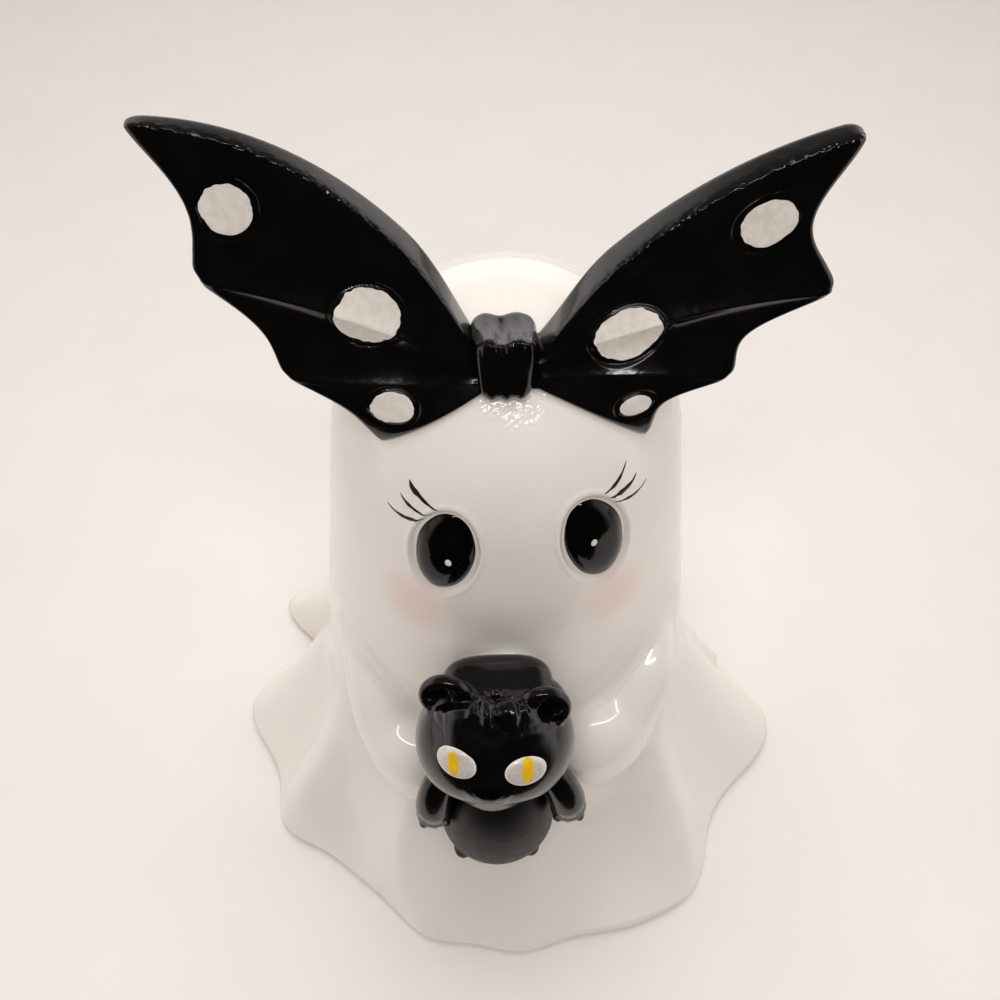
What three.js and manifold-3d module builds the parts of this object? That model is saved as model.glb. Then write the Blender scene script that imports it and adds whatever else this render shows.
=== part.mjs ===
// Glazed resin ghost figurine that hugs a black cat and wears a bat wing bow on its head.
// Millimetres, +Z up, the ghost looks along -Y. Left and right are the figure's own sides,
// so its left arm, left eye and left wing are at +X.

import * as THREE from 'three';
import { mergeVertices } from 'three/addons/utils/BufferGeometryUtils.js';
import Module from 'manifold-3d';

const wasm = await Module();
wasm.setup();

// Clearance between glued pieces.
const glueGap = 0.3;

// Ghost body: a round head on sides that widen downwards into a flared, folded skirt.
const headRadius = 57;
const headHeight = 171;
const sideSlope = 0.135;
const flareReach = 24;
const flareHeight = 62;
const foldTop = 82;
const hemLip = 3;
const bodyColumns = 72;
const sideRows = 14;
const crownRows = 8;
const lipRows = 3;
const rowCrowding = 1.8;

// Each fold of the skirt: where it ends at the hem in degrees from the front, how far it reaches
// out there, its half width in degrees, how far it stands out on the way up, and how many degrees
// it has turned where it dies out on the body. A negative reach is a tuck.
const folds = [
  { at: -143, reach: 8, spread: 12, climb: 6, turn: 4 },
  { at: -116, reach: 11, spread: 7, climb: 1, turn: 0 },
  { at: -103, reach: -22, spread: 8, climb: -2, turn: 0 },
  { at: -88, reach: 10, spread: 12, climb: 5, turn: 0 },
  { at: -57, reach: 8, spread: 8, climb: 9, turn: -5 },
  { at: -28, reach: 1, spread: 7, climb: 5, turn: -2 },
  { at: -17, reach: 9, spread: 9, climb: 3, turn: 0 },
  { at: 0, reach: 10, spread: 10, climb: 4, turn: 0 },
  { at: 23, reach: 11, spread: 14, climb: -3, turn: 0 },
  { at: 38, reach: 10, spread: 10, climb: 9, turn: 14 },
  { at: 77, reach: 14, spread: 13, climb: 6, turn: 0 },
  { at: 91, reach: -10, spread: 5, climb: -1, turn: 0 },
  { at: 109, reach: -16, spread: 9, climb: -1, turn: 0 },
  { at: 147, reach: 8, spread: 13, climb: 6, turn: -4 },
  { at: 182, reach: 6, spread: 12, climb: 5, turn: 3 },
];

// Underside: a closing plate set into the body, and a felt disc glued over it.
const plateRadius = 70;
const plateThickness = 3.7;
const plateChamfer = 0.8;
const feltRadius = 78;
const feltThickness = 1;
const discSides = 48;

// Ghost eyes: oval domes that follow the head, each in a socket with a dished rim around it.
// Rise is the height of an eye's middle above the middle of the head.
const eyeHalfWidth = 9.1;
const eyeHalfHeight = 16.2;
const eyeProud = 1.4;
const eyeEdgeSink = 0.5;
const eyeSeat = 3;
const eyeRim = 2.6;
const eyeRimSink = 0.9;
const eyeSides = 24;
const eyeRings = [0.3, 0.6, 0.85, 1];
const eyes = {
  left_eye: { azimuth: 25.2, rise: 6.4, roll: 15 },
  right_eye: { azimuth: -21.1, rise: 3.8, roll: -11 },
};

// Arms: sleeves that leave the body at the shoulder, swing forwards and hang down at a blunt end.
// Each station gives azimuth, height above or below the hug, how far its centre stands off the
// body, and its half sizes.
const hugHeight = 90;
const arms = {
  left_arm: [
    { azimuth: 66, rise: 28, stand: -8, tall: 6, deep: 6 },
    { azimuth: 54, rise: 22.5, stand: -4, tall: 7.5, deep: 9 },
    { azimuth: 43, rise: 14, stand: 0, tall: 9.5, deep: 13 },
    { azimuth: 33, rise: 1.5, stand: 0, tall: 15, deep: 16 },
    { azimuth: 24, rise: -7, stand: 1, tall: 19, deep: 17 },
    { azimuth: 12, rise: -18.5, stand: 0, tall: 19, deep: 14 },
  ],
  right_arm: [
    { azimuth: -67, rise: 21, stand: -8, tall: 5.5, deep: 6 },
    { azimuth: -55, rise: 12, stand: -4, tall: 7, deep: 8.5 },
    { azimuth: -45, rise: 1.5, stand: -1, tall: 9.5, deep: 11.5 },
    { azimuth: -37, rise: -9.5, stand: 0, tall: 13, deep: 14.5 },
    { azimuth: -28, rise: -18, stand: 1, tall: 17, deep: 16 },
    { azimuth: -17, rise: -27, stand: 0, tall: 18, deep: 13 },
  ],
};
const armSteps = 12;
const armSides = 16;
const armEndSteps = 4;
const armEndShare = 0.12;
const armEndBend = 84;
const armPegRadius = 5;
const armPegLength = 9;
const pegInset = 2;

// Bow: its middle is a little above the crown, and the plane of the wings leans back.
const bowRise = 1;
const bowForward = 25.5;
const bowLean = 15;
const knotSideways = -1.7;
const knotWidth = 18.6;
const knotTall = 10.5;
const knotDeep = 11;
const knotDrop = 2.5;
const knotBack = 2;
const knotPleats = 4;
const pleatDepth = 0.5;
const knotRounding = 0.93;
const knotSteps = 14;
const knotSides = 18;
const knotPegRadius = 5;
const knotPegDepth = 9;
const knotPegInset = 3;
const wingPegRadius = 2.6;
const wingPegLength = 9;
const wingPegDrop = 1;

// Each wing fans out from the knot along four rays drawn in the bow plane, across and up from the
// knot: the spar along the top, two ribs, and the lower edge. Scallop is how far the skin between
// two rays falls short of their tips, and thinning is how much thickness the wing loses outwards.
const wings = {
  left_bat_wing: {
    side: 1,
    rays: [
      [[8.9, -1.5], [42.8, 40.3], [87, 52]],
      [[7.7, -4.5], [53, 13], [86, 13.4]],
      [[9, -8], [34, -7.2], [60.5, -10.6]],
      [[7, -11], [22, -18.3], [38.6, -30]],
    ],
    scallops: [0.12, 0.15, 0.16],
    thinning: 0.3,
  },
  right_bat_wing: {
    side: -1,
    rays: [
      [[9.3, -2.2], [41.8, 56], [90.5, 58.8]],
      [[8, -7], [45, 14], [80.5, 21.6]],
      [[9, -9], [38, -10], [61, -6.3]],
      [[8, -11.5], [24, -21.5], [37, -28.6]],
    ],
    scallops: [0.07, 0.08, 0.09],
    thinning: 0.55,
  },
};
const sparThickness = 11.5;
const sparRoll = 5.5;
const sparFront = [[1, 0.5], [0.6, 0.12]];
const sparBack = [[1, 0.62], [0.6, 0.95]];
const rollAtRoot = 0.2;
const ribThickness = 6.5;
const edgeThickness = 4.5;
const ribRise = 1;
const lowRibRise = 2.5;
const lowerProud = 1.6;
const skinSinks = [2.4, 2.2, 0];
const edgeInset = 0.22;
const wingSteps = 11;
const panelSteps = 4;
const lastStep = 0.985;
const lastPlace = 0.94;
const ribFade = 0.4;

// Cat: a round head with a flat crown, a pointed chin and cupped ears, a small sitting body, and
// two forelegs that hang over the ends of the ghost's arms. Ahead is how far a middle stands in
// front of the ghost's body, and rise is its height above or below the hug.
const catHead = { across: -7.2, ahead: 19.6, rise: 30, wide: 25, deep: 22, tall: 23 };
const catTurn = -5;
const catCrown = 19.5;
const chinReach = 1;
const chinDrop = -39;
const chinSpread = 16;
const cheekTuck = 1.2;
const crownFlat = 0.2;
const crownBlock = { aside: 1.4, behind: 9, rise: 10, wide: 15, deep: 12.5, tall: 9.5 };
const catEars = [{ turn: 87, lift: 54 }, { turn: -111, lift: 51 }];
const earSpan = 17;
const earTall = 8;
const earThick = 4.5;
const earWall = 2;
const earFacing = 15;
const catEyeHalfWidth = 7;
const catEyeHalfHeight = 5.1;
const catEyeDepth = 2.4;
const catEyeProud = 0.5;
const catEyeSides = 20;
const catEyes = {
  cat_left_eye: { turn: 23.8, lift: 29.9, roll: -16.5 },
  cat_right_eye: { turn: -36.8, lift: 34.8, roll: 4 },
};
const catTorso = { across: -6.6, ahead: 11.4, rise: -26, wide: 20, deep: 18, tall: 22 };
const neckStretch = 1.6;
const neckPegRadius = 5;
const neckPegLength = 14;
const neckPegBelow = 6;
const footRadius = 4;
const footSpread = 10.5;
const footAhead = 9;
const footBelow = 13.2;
const footLength = 5;
const torsoPegRadius = 5;
const torsoPegLength = 8;

// Forelegs: points from shoulder to paw, measured from the middle of the cat's head.
const forelegs = {
  cat_left_foreleg: [[15, 0, -20], [22, -5, -30], [25, -5, -43], [26.5, -3, -55]],
  cat_right_foreleg: [[-15, 0, -20], [-20, -5, -30], [-22, -4, -43], [-22.5, -3, -55.5]],
};
const forelegRadius = 5;
const pawRadius = 6.4;
const forelegSteps = 10;
const forelegSides = 12;
const pawStart = 0.7;

const glossWhite = { color: 0xf2eeea, roughness: 0.16, metalness: 0 };
const glossBlack = { color: 0x0b0a0a, roughness: 0.14, metalness: 0 };
const eyeBlack = { color: 0x050505, roughness: 0.08, metalness: 0 };
const paleEye = { color: 0xc9c6c4, roughness: 0.3, metalness: 0 };
const plateGrey = { color: 0xd8d2c8, roughness: 0.7, metalness: 0 };
const feltWhite = { color: 0xe6e2da, roughness: 0.95, metalness: 0 };

const radians = THREE.MathUtils.degToRad;
const degrees = THREE.MathUtils.radToDeg;
const mix = THREE.MathUtils.lerp;
const up = new THREE.Vector3(0, 0, 1);

// Signed volume of a closed mesh, which is negative where its faces point inwards.
function signedVolume(geometry) {
  const position = geometry.getAttribute('position');
  const index = geometry.getIndex();
  const a = new THREE.Vector3();
  const b = new THREE.Vector3();
  const c = new THREE.Vector3();
  let sum = 0;
  for (let i = 0; i < index.count; i += 3) {
    a.fromBufferAttribute(position, index.getX(i));
    b.fromBufferAttribute(position, index.getX(i + 1));
    c.fromBufferAttribute(position, index.getX(i + 2));
    sum += a.dot(b.cross(c));
  }
  return sum / 6;
}

// A closed geometry from points and triangles, turned right side out.
function closedGeometry(points, triangles) {
  const geometry = new THREE.BufferGeometry();
  const numbers = points.flatMap((p) => [p.x, p.y, p.z]);
  geometry.setAttribute('position', new THREE.Float32BufferAttribute(numbers, 3));
  geometry.setIndex(triangles.flat());
  if (signedVolume(geometry) < 0) {
    geometry.setIndex(triangles.flatMap(([a, b, c]) => [a, c, b]));
  }
  return geometry;
}

// The skin over a row of closed rings that have the same number of points, with both ends closed
// by a fan around the ring's middle.
function loft(rings) {
  const sides = rings[0].length;
  const points = rings.flat();
  const triangles = [];
  for (let r = 0; r + 1 < rings.length; r += 1) {
    for (let s = 0; s < sides; s += 1) {
      const a = r * sides + s;
      const b = r * sides + (s + 1) % sides;
      triangles.push([a, b, b + sides], [a, b + sides, a + sides]);
    }
  }
  const middle = (ring) => ring.reduce((sum, p) => sum.add(p), new THREE.Vector3()).divideScalar(sides);
  const first = points.push(middle(rings[0])) - 1;
  const last = points.push(middle(rings[rings.length - 1])) - 1;
  const lastRow = (rings.length - 1) * sides;
  for (let s = 0; s < sides; s += 1) {
    const next = (s + 1) % sides;
    triangles.push([first, next, s], [last, lastRow + s, lastRow + next]);
  }
  return closedGeometry(points, triangles);
}

// The skin over two grids of points, front and back, stitched together around their edge.
function slab(front, back) {
  const rows = front.length;
  const columns = front[0].length;
  const count = rows * columns;
  const points = [...front.flat(), ...back.flat()];
  const triangles = [];
  for (let r = 0; r + 1 < rows; r += 1) {
    for (let c = 0; c + 1 < columns; c += 1) {
      const a = r * columns + c;
      const b = a + columns;
      triangles.push([a, a + 1, b + 1], [a, b + 1, b]);
      triangles.push([count + a, count + b + 1, count + a + 1], [count + a, count + b, count + b + 1]);
    }
  }
  const edge = [];
  for (let c = 0; c < columns; c += 1) edge.push(c);
  for (let r = 1; r < rows; r += 1) edge.push(r * columns + columns - 1);
  for (let c = columns - 2; c >= 0; c -= 1) edge.push((rows - 1) * columns + c);
  for (let r = rows - 2; r > 0; r -= 1) edge.push(r * columns);
  edge.forEach((a, i) => {
    const b = edge[(i + 1) % edge.length];
    triangles.push([a, count + b, b], [a, count + a, count + b]);
  });
  return closedGeometry(points, triangles);
}

// Turns a closed geometry into a solid that can be joined and cut, and back.
function solid(geometry) {
  const bare = geometry.clone();
  bare.deleteAttribute('normal');
  bare.deleteAttribute('uv');
  const merged = mergeVertices(bare, 1e-4);
  return new wasm.Manifold(new wasm.Mesh({
    numProp: 3,
    vertProperties: new Float32Array(merged.getAttribute('position').array),
    triVerts: new Uint32Array(merged.getIndex().array),
  }));
}

function geometryOf(body) {
  const mesh = body.getMesh();
  const geometry = new THREE.BufferGeometry();
  geometry.setAttribute('position', new THREE.BufferAttribute(new Float32Array(mesh.vertProperties), 3));
  geometry.setIndex(new THREE.BufferAttribute(new Uint32Array(mesh.triVerts), 1));
  geometry.computeVertexNormals();
  return geometry;
}

// The largest connected piece of a solid that a cut has left in several.
function largest(body) {
  return body.decompose().reduce((best, part) => (part.volume() > best.volume() ? part : best));
}

// A frame of three axes at a point: along x, along y, and out along z.
function frameAt(point, outward, roll = 0) {
  const z = outward.clone().normalize();
  const x = up.clone().cross(z).normalize();
  const y = z.clone().cross(x);
  const frame = new THREE.Matrix4().makeBasis(x, y, z);
  frame.multiply(new THREE.Matrix4().makeRotationZ(radians(roll)));
  return frame.setPosition(point);
}

// An ellipsoid placed by such a frame, its middle sunk below the point.
function dome(frame, halfWidth, halfHeight, depth, sink, segments) {
  const geometry = new THREE.SphereGeometry(1, segments, Math.round(segments * 0.6));
  geometry.rotateX(Math.PI / 2);
  geometry.scale(halfWidth, halfHeight, depth);
  geometry.translate(0, 0, -sink);
  return solid(geometry.applyMatrix4(frame));
}

// A round glue peg from one point along a direction.
function peg(from, direction, radius, length) {
  const geometry = new THREE.CylinderGeometry(radius, radius, length, 16);
  geometry.translate(0, length / 2, 0);
  const yAxis = new THREE.Vector3(0, 1, 0);
  geometry.applyQuaternion(new THREE.Quaternion().setFromUnitVectors(yAxis, direction));
  return solid(geometry.translate(from.x, from.y, from.z));
}

// The hole for such a peg, with the clearance around and below it.
function pegHole(from, direction, radius, length) {
  return peg(from, direction, radius + glueGap, length + glueGap);
}

// A closed ring of points around a centre, as wide along x and y as the two half sizes.
function ovalRing(centre, x, y, halfX, halfY, sides) {
  return Array.from({ length: sides }, (_, s) => {
    const turn = s * 2 * Math.PI / sides;
    return centre.clone()
      .addScaledVector(x, halfX * Math.cos(turn))
      .addScaledVector(y, halfY * Math.sin(turn));
  });
}

// The straight taper of the sides meets the round of the head at the shoulder, smoothly.
const taper = Math.atan(sideSlope);
const shoulder = headHeight + headRadius * Math.sin(taper);

// The radius of the body at a height, before the skirt.
function sideRadius(height) {
  if (height > shoulder) return Math.sqrt(Math.max(0, headRadius ** 2 - (height - headHeight) ** 2));
  return headRadius * Math.cos(taper) + sideSlope * (shoulder - height);
}

// The smallest turn between two directions in degrees.
function turnBetween(a, b) {
  return ((a - b + 540) % 360) - 180;
}

// How far the skirt stands out from the straight side at an azimuth in degrees and a height. The
// hem below the top of its rounded lip has the form it has there.
function skirt(azimuth, height) {
  const above = Math.max(0, height - hemLip);
  const rise = above / foldTop;
  const flare = above < flareHeight ? flareReach * (1 - above / flareHeight) ** 2 : 0;
  if (rise >= 1) return flare;
  return folds.reduce((reach, fold) => {
    const away = turnBetween(azimuth, fold.at + fold.turn * rise) / fold.spread;
    const outward = fold.reach * (1 - rise) ** 4 + fold.climb * Math.sin(Math.PI * Math.sqrt(rise)) ** 2;
    return reach + outward * Math.exp(-away * away);
  }, flare);
}

function bodyRadius(azimuth, height) {
  return sideRadius(height) + skirt(azimuth, height);
}

// The point at an azimuth, a distance from the axis and a height.
function around(azimuth, radius, height) {
  const turn = radians(azimuth);
  return new THREE.Vector3(radius * Math.sin(turn), -radius * Math.cos(turn), height);
}

// How fast the radius of the body grows with height.
function bodySlope(azimuth, height) {
  return bodyRadius(azimuth, height + 0.5) - bodyRadius(azimuth, height - 0.5);
}

// The point on the body at an azimuth and height, and the direction out of it.
function onBody(azimuth, height) {
  const point = around(azimuth, bodyRadius(azimuth, height), height);
  const outward = around(azimuth, 1, -bodySlope(azimuth, height)).normalize();
  return { point, outward };
}

// The height reached by going a distance up along the surface of the body.
function climb(azimuth, height, distance) {
  const steps = 6;
  let level = height;
  for (let i = 0; i < steps; i += 1) {
    level += distance / steps / Math.hypot(1, bodySlope(azimuth, level));
  }
  return level;
}

// The closed skin of the body, or of the space that it fills with a gap around it.
function bodySkin(gap = 0) {
  const rings = [];
  const ring = (radius, height) => {
    rings.push(Array.from({ length: bodyColumns }, (_, c) => {
      const azimuth = c * 360 / bodyColumns;
      return around(azimuth, radius(azimuth), height);
    }));
  };
  for (let row = 0; row <= lipRows; row += 1) {
    const turn = row / lipRows * Math.PI / 2;
    const inset = hemLip * (1 - Math.sin(turn)) - gap;
    const height = hemLip - (hemLip + gap) * Math.cos(turn);
    ring((azimuth) => bodyRadius(azimuth, hemLip) - inset, height);
  }
  for (let row = 2; row < sideRows; row += 1) {
    const height = hemLip + (shoulder - hemLip) * (row / sideRows) ** rowCrowding;
    ring((azimuth) => bodyRadius(azimuth, height) + gap, height);
  }
  for (let row = 0; row < crownRows; row += 1) {
    const turn = mix(taper, Math.PI / 2, row / crownRows);
    ring(() => (headRadius + gap) * Math.cos(turn), headHeight + (headRadius + gap) * Math.sin(turn));
  }
  const geometry = loft(rings);
  const position = geometry.getAttribute('position');
  const crown = position.count - 1;
  position.setZ(crown, headHeight + headRadius + gap);
  return solid(geometry);
}

// An oval plug that follows the body, centred on an eye's place and turned by its roll. Its front
// stands off the body by an amount that depends on the way from the middle, 0, to the rim, 1.
function eyePlug({ azimuth, rise, roll }, halfWidth, halfHeight, front, depth) {
  const turn = radians(roll);
  const row = (share, stand) => Array.from({ length: eyeSides }, (_, s) => {
    const x = halfWidth * share * Math.cos(s * 2 * Math.PI / eyeSides);
    const y = halfHeight * share * Math.sin(s * 2 * Math.PI / eyeSides);
    const sideways = x * Math.cos(turn) - y * Math.sin(turn);
    const height = climb(azimuth, headHeight + rise, x * Math.sin(turn) + y * Math.cos(turn));
    const aside = degrees(sideways / bodyRadius(azimuth, height));
    const { point, outward } = onBody(azimuth + aside, height);
    return point.addScaledVector(outward, stand);
  });
  const rings = eyeRings.map((share) => row(share, front(share)));
  rings.push(row(1, -depth), row(0.5, -depth));
  return solid(loft(rings));
}

// A value at a share of the way along the stations.
function between(stations, share, name) {
  const place = share * (stations.length - 1);
  const k = Math.min(Math.floor(place), stations.length - 2);
  return mix(stations[k][name], stations[k + 1][name], place - k);
}

// A sleeve through the stations, drawn as oval sections and rounded off at the free end.
function sleeve(stations, gap = 0) {
  const path = new THREE.CatmullRomCurve3(stations.map(({ azimuth, rise, stand }) => {
    const { point, outward } = onBody(azimuth, hugHeight + rise);
    return point.addScaledVector(outward, stand);
  }));
  const rings = [];
  for (let i = 0; i <= armSteps + armEndSteps; i += 1) {
    const bend = Math.max(0, i - armSteps) / armEndSteps * radians(armEndBend);
    const share = Math.min(1, i / armSteps) * (1 - armEndShare) + armEndShare * Math.sin(bend);
    const azimuth = between(stations, share, 'azimuth');
    const { outward } = onBody(azimuth, hugHeight + between(stations, share, 'rise'));
    const along = path.getTangent(share);
    const upward = outward.clone().cross(along).normalize();
    const out = along.clone().cross(upward).normalize();
    const tall = between(stations, share, 'tall') * Math.cos(bend) + gap;
    const deep = between(stations, share, 'deep') * Math.cos(bend) + gap;
    rings.push(ovalRing(path.getPoint(share), out, upward, deep, tall, armSides));
  }
  return solid(loft(rings));
}

// The bow's own axes: across, up along the leaning plane, and out towards the front.
const bowMiddle = new THREE.Vector3(0, -bowForward, headHeight + headRadius + bowRise);
const across = new THREE.Vector3(1, 0, 0);
const bowUp = new THREE.Vector3(0, Math.sin(radians(bowLean)), Math.cos(radians(bowLean)));
const bowOut = across.clone().cross(bowUp);

function bowPoint(sideways, upward, outward) {
  return bowMiddle.clone()
    .addScaledVector(across, sideways)
    .addScaledVector(bowUp, upward)
    .addScaledVector(bowOut, outward);
}

// How far in front of the bow plane the surface of the head is, at a place in that plane.
function headFront(sideways, upward) {
  const fromHead = bowPoint(sideways, upward, 0);
  fromHead.z -= headHeight;
  const level = fromHead.dot(bowOut);
  return Math.sqrt(Math.max(0, headRadius ** 2 - fromHead.lengthSq() + level ** 2)) - level;
}

// The knot is a pleated band wrapped around the middle of the bow.
function knotSkin(gap = 0) {
  const rings = [];
  for (let i = 0; i <= knotSteps; i += 1) {
    const place = i / knotSteps * 2 - 1;
    const barrel = Math.sqrt(1 - (place * knotRounding) ** 4);
    const pleat = pleatDepth * Math.cos(place * knotPleats * Math.PI) * (1 - place * place);
    const centre = bowPoint(knotSideways + place * (knotWidth / 2 + gap), -knotDrop, -knotBack);
    const tall = knotTall * barrel + pleat + gap;
    const deep = knotDeep * barrel + pleat + gap;
    rings.push(ovalRing(centre, bowUp, bowOut, tall, deep, knotSides));
  }
  return solid(loft(rings));
}

// The place at a share of the way along a ray, which is a curve with one control point.
function alongRay([start, control, end], share) {
  const at = (k) => start[k] * (1 - share) ** 2 + 2 * control[k] * share * (1 - share) + end[k] * share ** 2;
  return [at(0), at(1)];
}

// The rolled top of the spar at a share of the way along it. Each point of the profile gives how
// far it is over the edge, in rolls, and how far behind the bow plane, in thicknesses.
function sparRow({ side, rays, thinning }, share, profile) {
  const [u, v] = alongRay(rays[0], share);
  const ahead = alongRay(rays[0], share + 0.01);
  const behind = alongRay(rays[0], share - 0.01);
  const normal = new THREE.Vector2(behind[1] - ahead[1], ahead[0] - behind[0]).normalize();
  const thin = 1 - thinning * share;
  const roll = sparRoll * thin * Math.min(1, mix(rollAtRoot, 1, share * 4));
  return profile.map(([over, back]) => bowPoint(
    side * (u + normal.x * roll * over),
    v + normal.y * roll * over,
    -sparThickness * back * thin,
  ));
}

// One wing: the skin between the rays, rolled over along the spar, ridged at the ribs, dished
// between them and lying on the head along its lower edge.
function wingSkin(wing) {
  const { side, rays, scallops, thinning } = wing;
  const panels = rays.length - 1;
  const places = [];
  for (let p = 0; p < panels; p += 1) {
    for (let k = 0; k < panelSteps; k += 1) places.push([p, k / panelSteps]);
  }
  places.push([panels - 1, lastPlace], [panels - 1, 1]);
  const crestAt = (ray, share, [u, v]) => {
    if (ray === panels) return headFront(u, v) + lowerProud;
    return [0, ribRise, lowRibRise][ray] * (1 - ribFade * share);
  };
  const thicknessAt = (ray) => (ray === 0 ? sparThickness : ribThickness);
  const front = [];
  const back = [];
  for (let i = 0; i <= wingSteps; i += 1) {
    const share = i === wingSteps ? 1 : i / (wingSteps - 1) * lastStep;
    const frontRow = sparRow(wing, share, sparFront);
    const backRow = sparRow(wing, share, sparBack);
    places.forEach(([p, t], j) => {
      const bay = Math.sin(Math.PI * t);
      const reach = share * (1 - scallops[p] * bay ** 1.4);
      const upper = alongRay(rays[p], reach);
      const lower = alongRay(rays[p + 1], reach);
      const sink = skinSinks[p] * bay * Math.sqrt(Math.sin(Math.PI * mix(0.05, 0.95, share)));
      const rise = mix(crestAt(p, share, upper), crestAt(p + 1, share, lower), t) - sink;
      const ridged = mix(thicknessAt(p), thicknessAt(p + 1), t);
      const full = mix(ridged, edgeThickness, bay * 0.8) * (1 - thinning * share);
      const inset = j === places.length - 1 || i === wingSteps ? full * edgeInset : 0;
      const sideways = side * mix(upper[0], lower[0], t);
      const upward = mix(upper[1], lower[1], t);
      frontRow.push(bowPoint(sideways, upward, rise - inset));
      backRow.push(bowPoint(sideways, upward, rise - full + inset));
    });
    front.push(frontRow);
    back.push(backRow);
  }
  return solid(slab(front, back));
}

// The middle of a form that stands in front of the ghost's body.
function aheadOfBody({ across: sideways, ahead, rise }) {
  const height = hugHeight + rise;
  return new THREE.Vector3(sideways, -bodyRadius(0, height) - ahead, height);
}

// A smooth closed form around a middle: an ellipsoid whose surface is then pushed about.
function blob(middle, { wide, deep, tall }, gap = 0, shape = (point) => point, segments = 20) {
  const geometry = new THREE.SphereGeometry(1, segments, Math.round(segments * 0.64));
  geometry.rotateX(Math.PI / 2);
  const position = geometry.getAttribute('position');
  const point = new THREE.Vector3();
  const direction = new THREE.Vector3();
  for (let i = 0; i < position.count; i += 1) {
    direction.fromBufferAttribute(position, i);
    point.set(direction.x * wide, direction.y * deep, direction.z * tall);
    shape(point, direction);
    point.addScaledVector(direction, gap).add(middle);
    position.setXYZ(i, point.x, point.y, point.z);
  }
  return solid(geometry);
}

const catHeadMiddle = aheadOfBody(catHead);
const catTorsoMiddle = aheadOfBody(catTorso);

// The direction from the middle of the cat's head, turned sideways and lifted, in degrees.
function headDirection(turn, lift) {
  return around(turn, Math.cos(radians(lift)), Math.sin(radians(lift)));
}

// A rounded box instead of an ellipsoid.
function shapeBlock(point, direction) {
  point.divideScalar((direction.x ** 4 + direction.y ** 4 + direction.z ** 4) ** 0.25);
}

// The cat's head has a flat crown, and cheeks that draw in to a point at the chin.
function shapeHead(point, direction) {
  const chin = headDirection(catTurn, chinDrop);
  const away = degrees(direction.angleTo(chin)) / chinSpread;
  const tuck = Math.exp(-((away - 2.2) ** 2)) * Math.max(0, 0.5 - direction.z);
  point.addScaledVector(chin, chinReach * Math.exp(-away * away));
  point.addScaledVector(direction, -cheekTuck * tuck);
  if (point.z > catCrown) point.z = catCrown + (point.z - catCrown) * crownFlat;
}

// The whole head without its ears: the round form, and the block that joins its crown to the body.
function headSkin(gap = 0) {
  const { aside, behind, rise } = crownBlock;
  const blockMiddle = new THREE.Vector3(aside, behind, rise).add(catHeadMiddle);
  return blob(catHeadMiddle, catHead, gap, shapeHead).add(blob(blockMiddle, crownBlock, gap, shapeBlock, 16));
}

// The point of the cat's head in a direction from its middle, and the way out of the head there.
function onHead({ turn, lift }) {
  const direction = headDirection(turn, lift);
  const halfSizes = new THREE.Vector3(catHead.wide, catHead.deep, catHead.tall);
  const point = direction.clone().multiply(halfSizes).add(catHeadMiddle);
  return { point, outward: direction.divide(halfSizes).normalize() };
}

// An oval column out through the head where an eye of the cat is set in.
function eyeColumn(eye, gap) {
  const column = new THREE.CylinderGeometry(1, 1, 2 * catEyeHalfWidth, catEyeSides);
  column.rotateX(Math.PI / 2).scale(catEyeHalfWidth + gap, catEyeHalfHeight + gap, 1);
  const { point, outward } = onHead(eye);
  return solid(column.applyMatrix4(frameAt(point, outward, eye.roll)));
}

// A cupped ear: half an oval shell whose open side looks forwards.
function ear(place) {
  const { point } = onHead(place);
  const frame = frameAt(point, headDirection(catTurn, earFacing));
  const outer = dome(frame, earSpan / 2, earTall, earThick, 0, 12);
  const hollow = dome(frame, earSpan / 2 - earWall, earTall - earWall, earThick, -earThick * 0.6, 12);
  return outer.subtract(hollow);
}

// The cat's body narrows upwards into a neck that meets the head.
function shapeTorso(point) {
  if (point.z > 0) point.z *= neckStretch;
}

// A foreleg along points measured from the middle of the cat's head, swelling to a round paw.
function foreleg(points) {
  const path = new THREE.CatmullRomCurve3(points.map((p) => new THREE.Vector3(...p).add(catHeadMiddle)));
  const rings = [];
  for (let i = 0; i <= forelegSteps; i += 1) {
    const share = i / forelegSteps;
    const direction = path.getTangent(share);
    const x = direction.clone().cross(new THREE.Vector3(0, 1, 0)).normalize();
    const y = direction.clone().cross(x).normalize();
    const rounding = Math.sqrt(Math.max(0.02, 1 - Math.max(0, (share - pawStart) / (1 - pawStart)) ** 2.6));
    const radius = mix(forelegRadius, pawRadius, share) * rounding;
    rings.push(ovalRing(path.getPoint(share), x, y, radius, radius, forelegSides));
  }
  return solid(loft(rings));
}

// Every piece by its name, and every hole that is cut into the body.
const pieces = {};
const sockets = [];
const bodySpace = bodySkin(glueGap);

// Eyes of the ghost, with the rim dished around each.
for (const [name, eye] of Object.entries(eyes)) {
  const crown = (share) => eyeProud - (eyeProud + eyeEdgeSink) * share ** 4;
  const dish = (share) => -eyeRimSink * Math.cos(share ** 4 * Math.PI / 2);
  const overhead = eyeProud + glueGap;
  const [wide, tall] = [eyeHalfWidth + glueGap, eyeHalfHeight + glueGap];
  const hole = eyePlug(eye, wide, tall, () => overhead, eyeSeat + glueGap);
  const rim = eyePlug(eye, eyeHalfWidth + eyeRim, eyeHalfHeight + eyeRim, dish, -overhead);
  pieces[name] = { body: eyePlug(eye, eyeHalfWidth, eyeHalfHeight, crown, eyeSeat), finish: eyeBlack };
  sockets.push(hole, rim);
}

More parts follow.
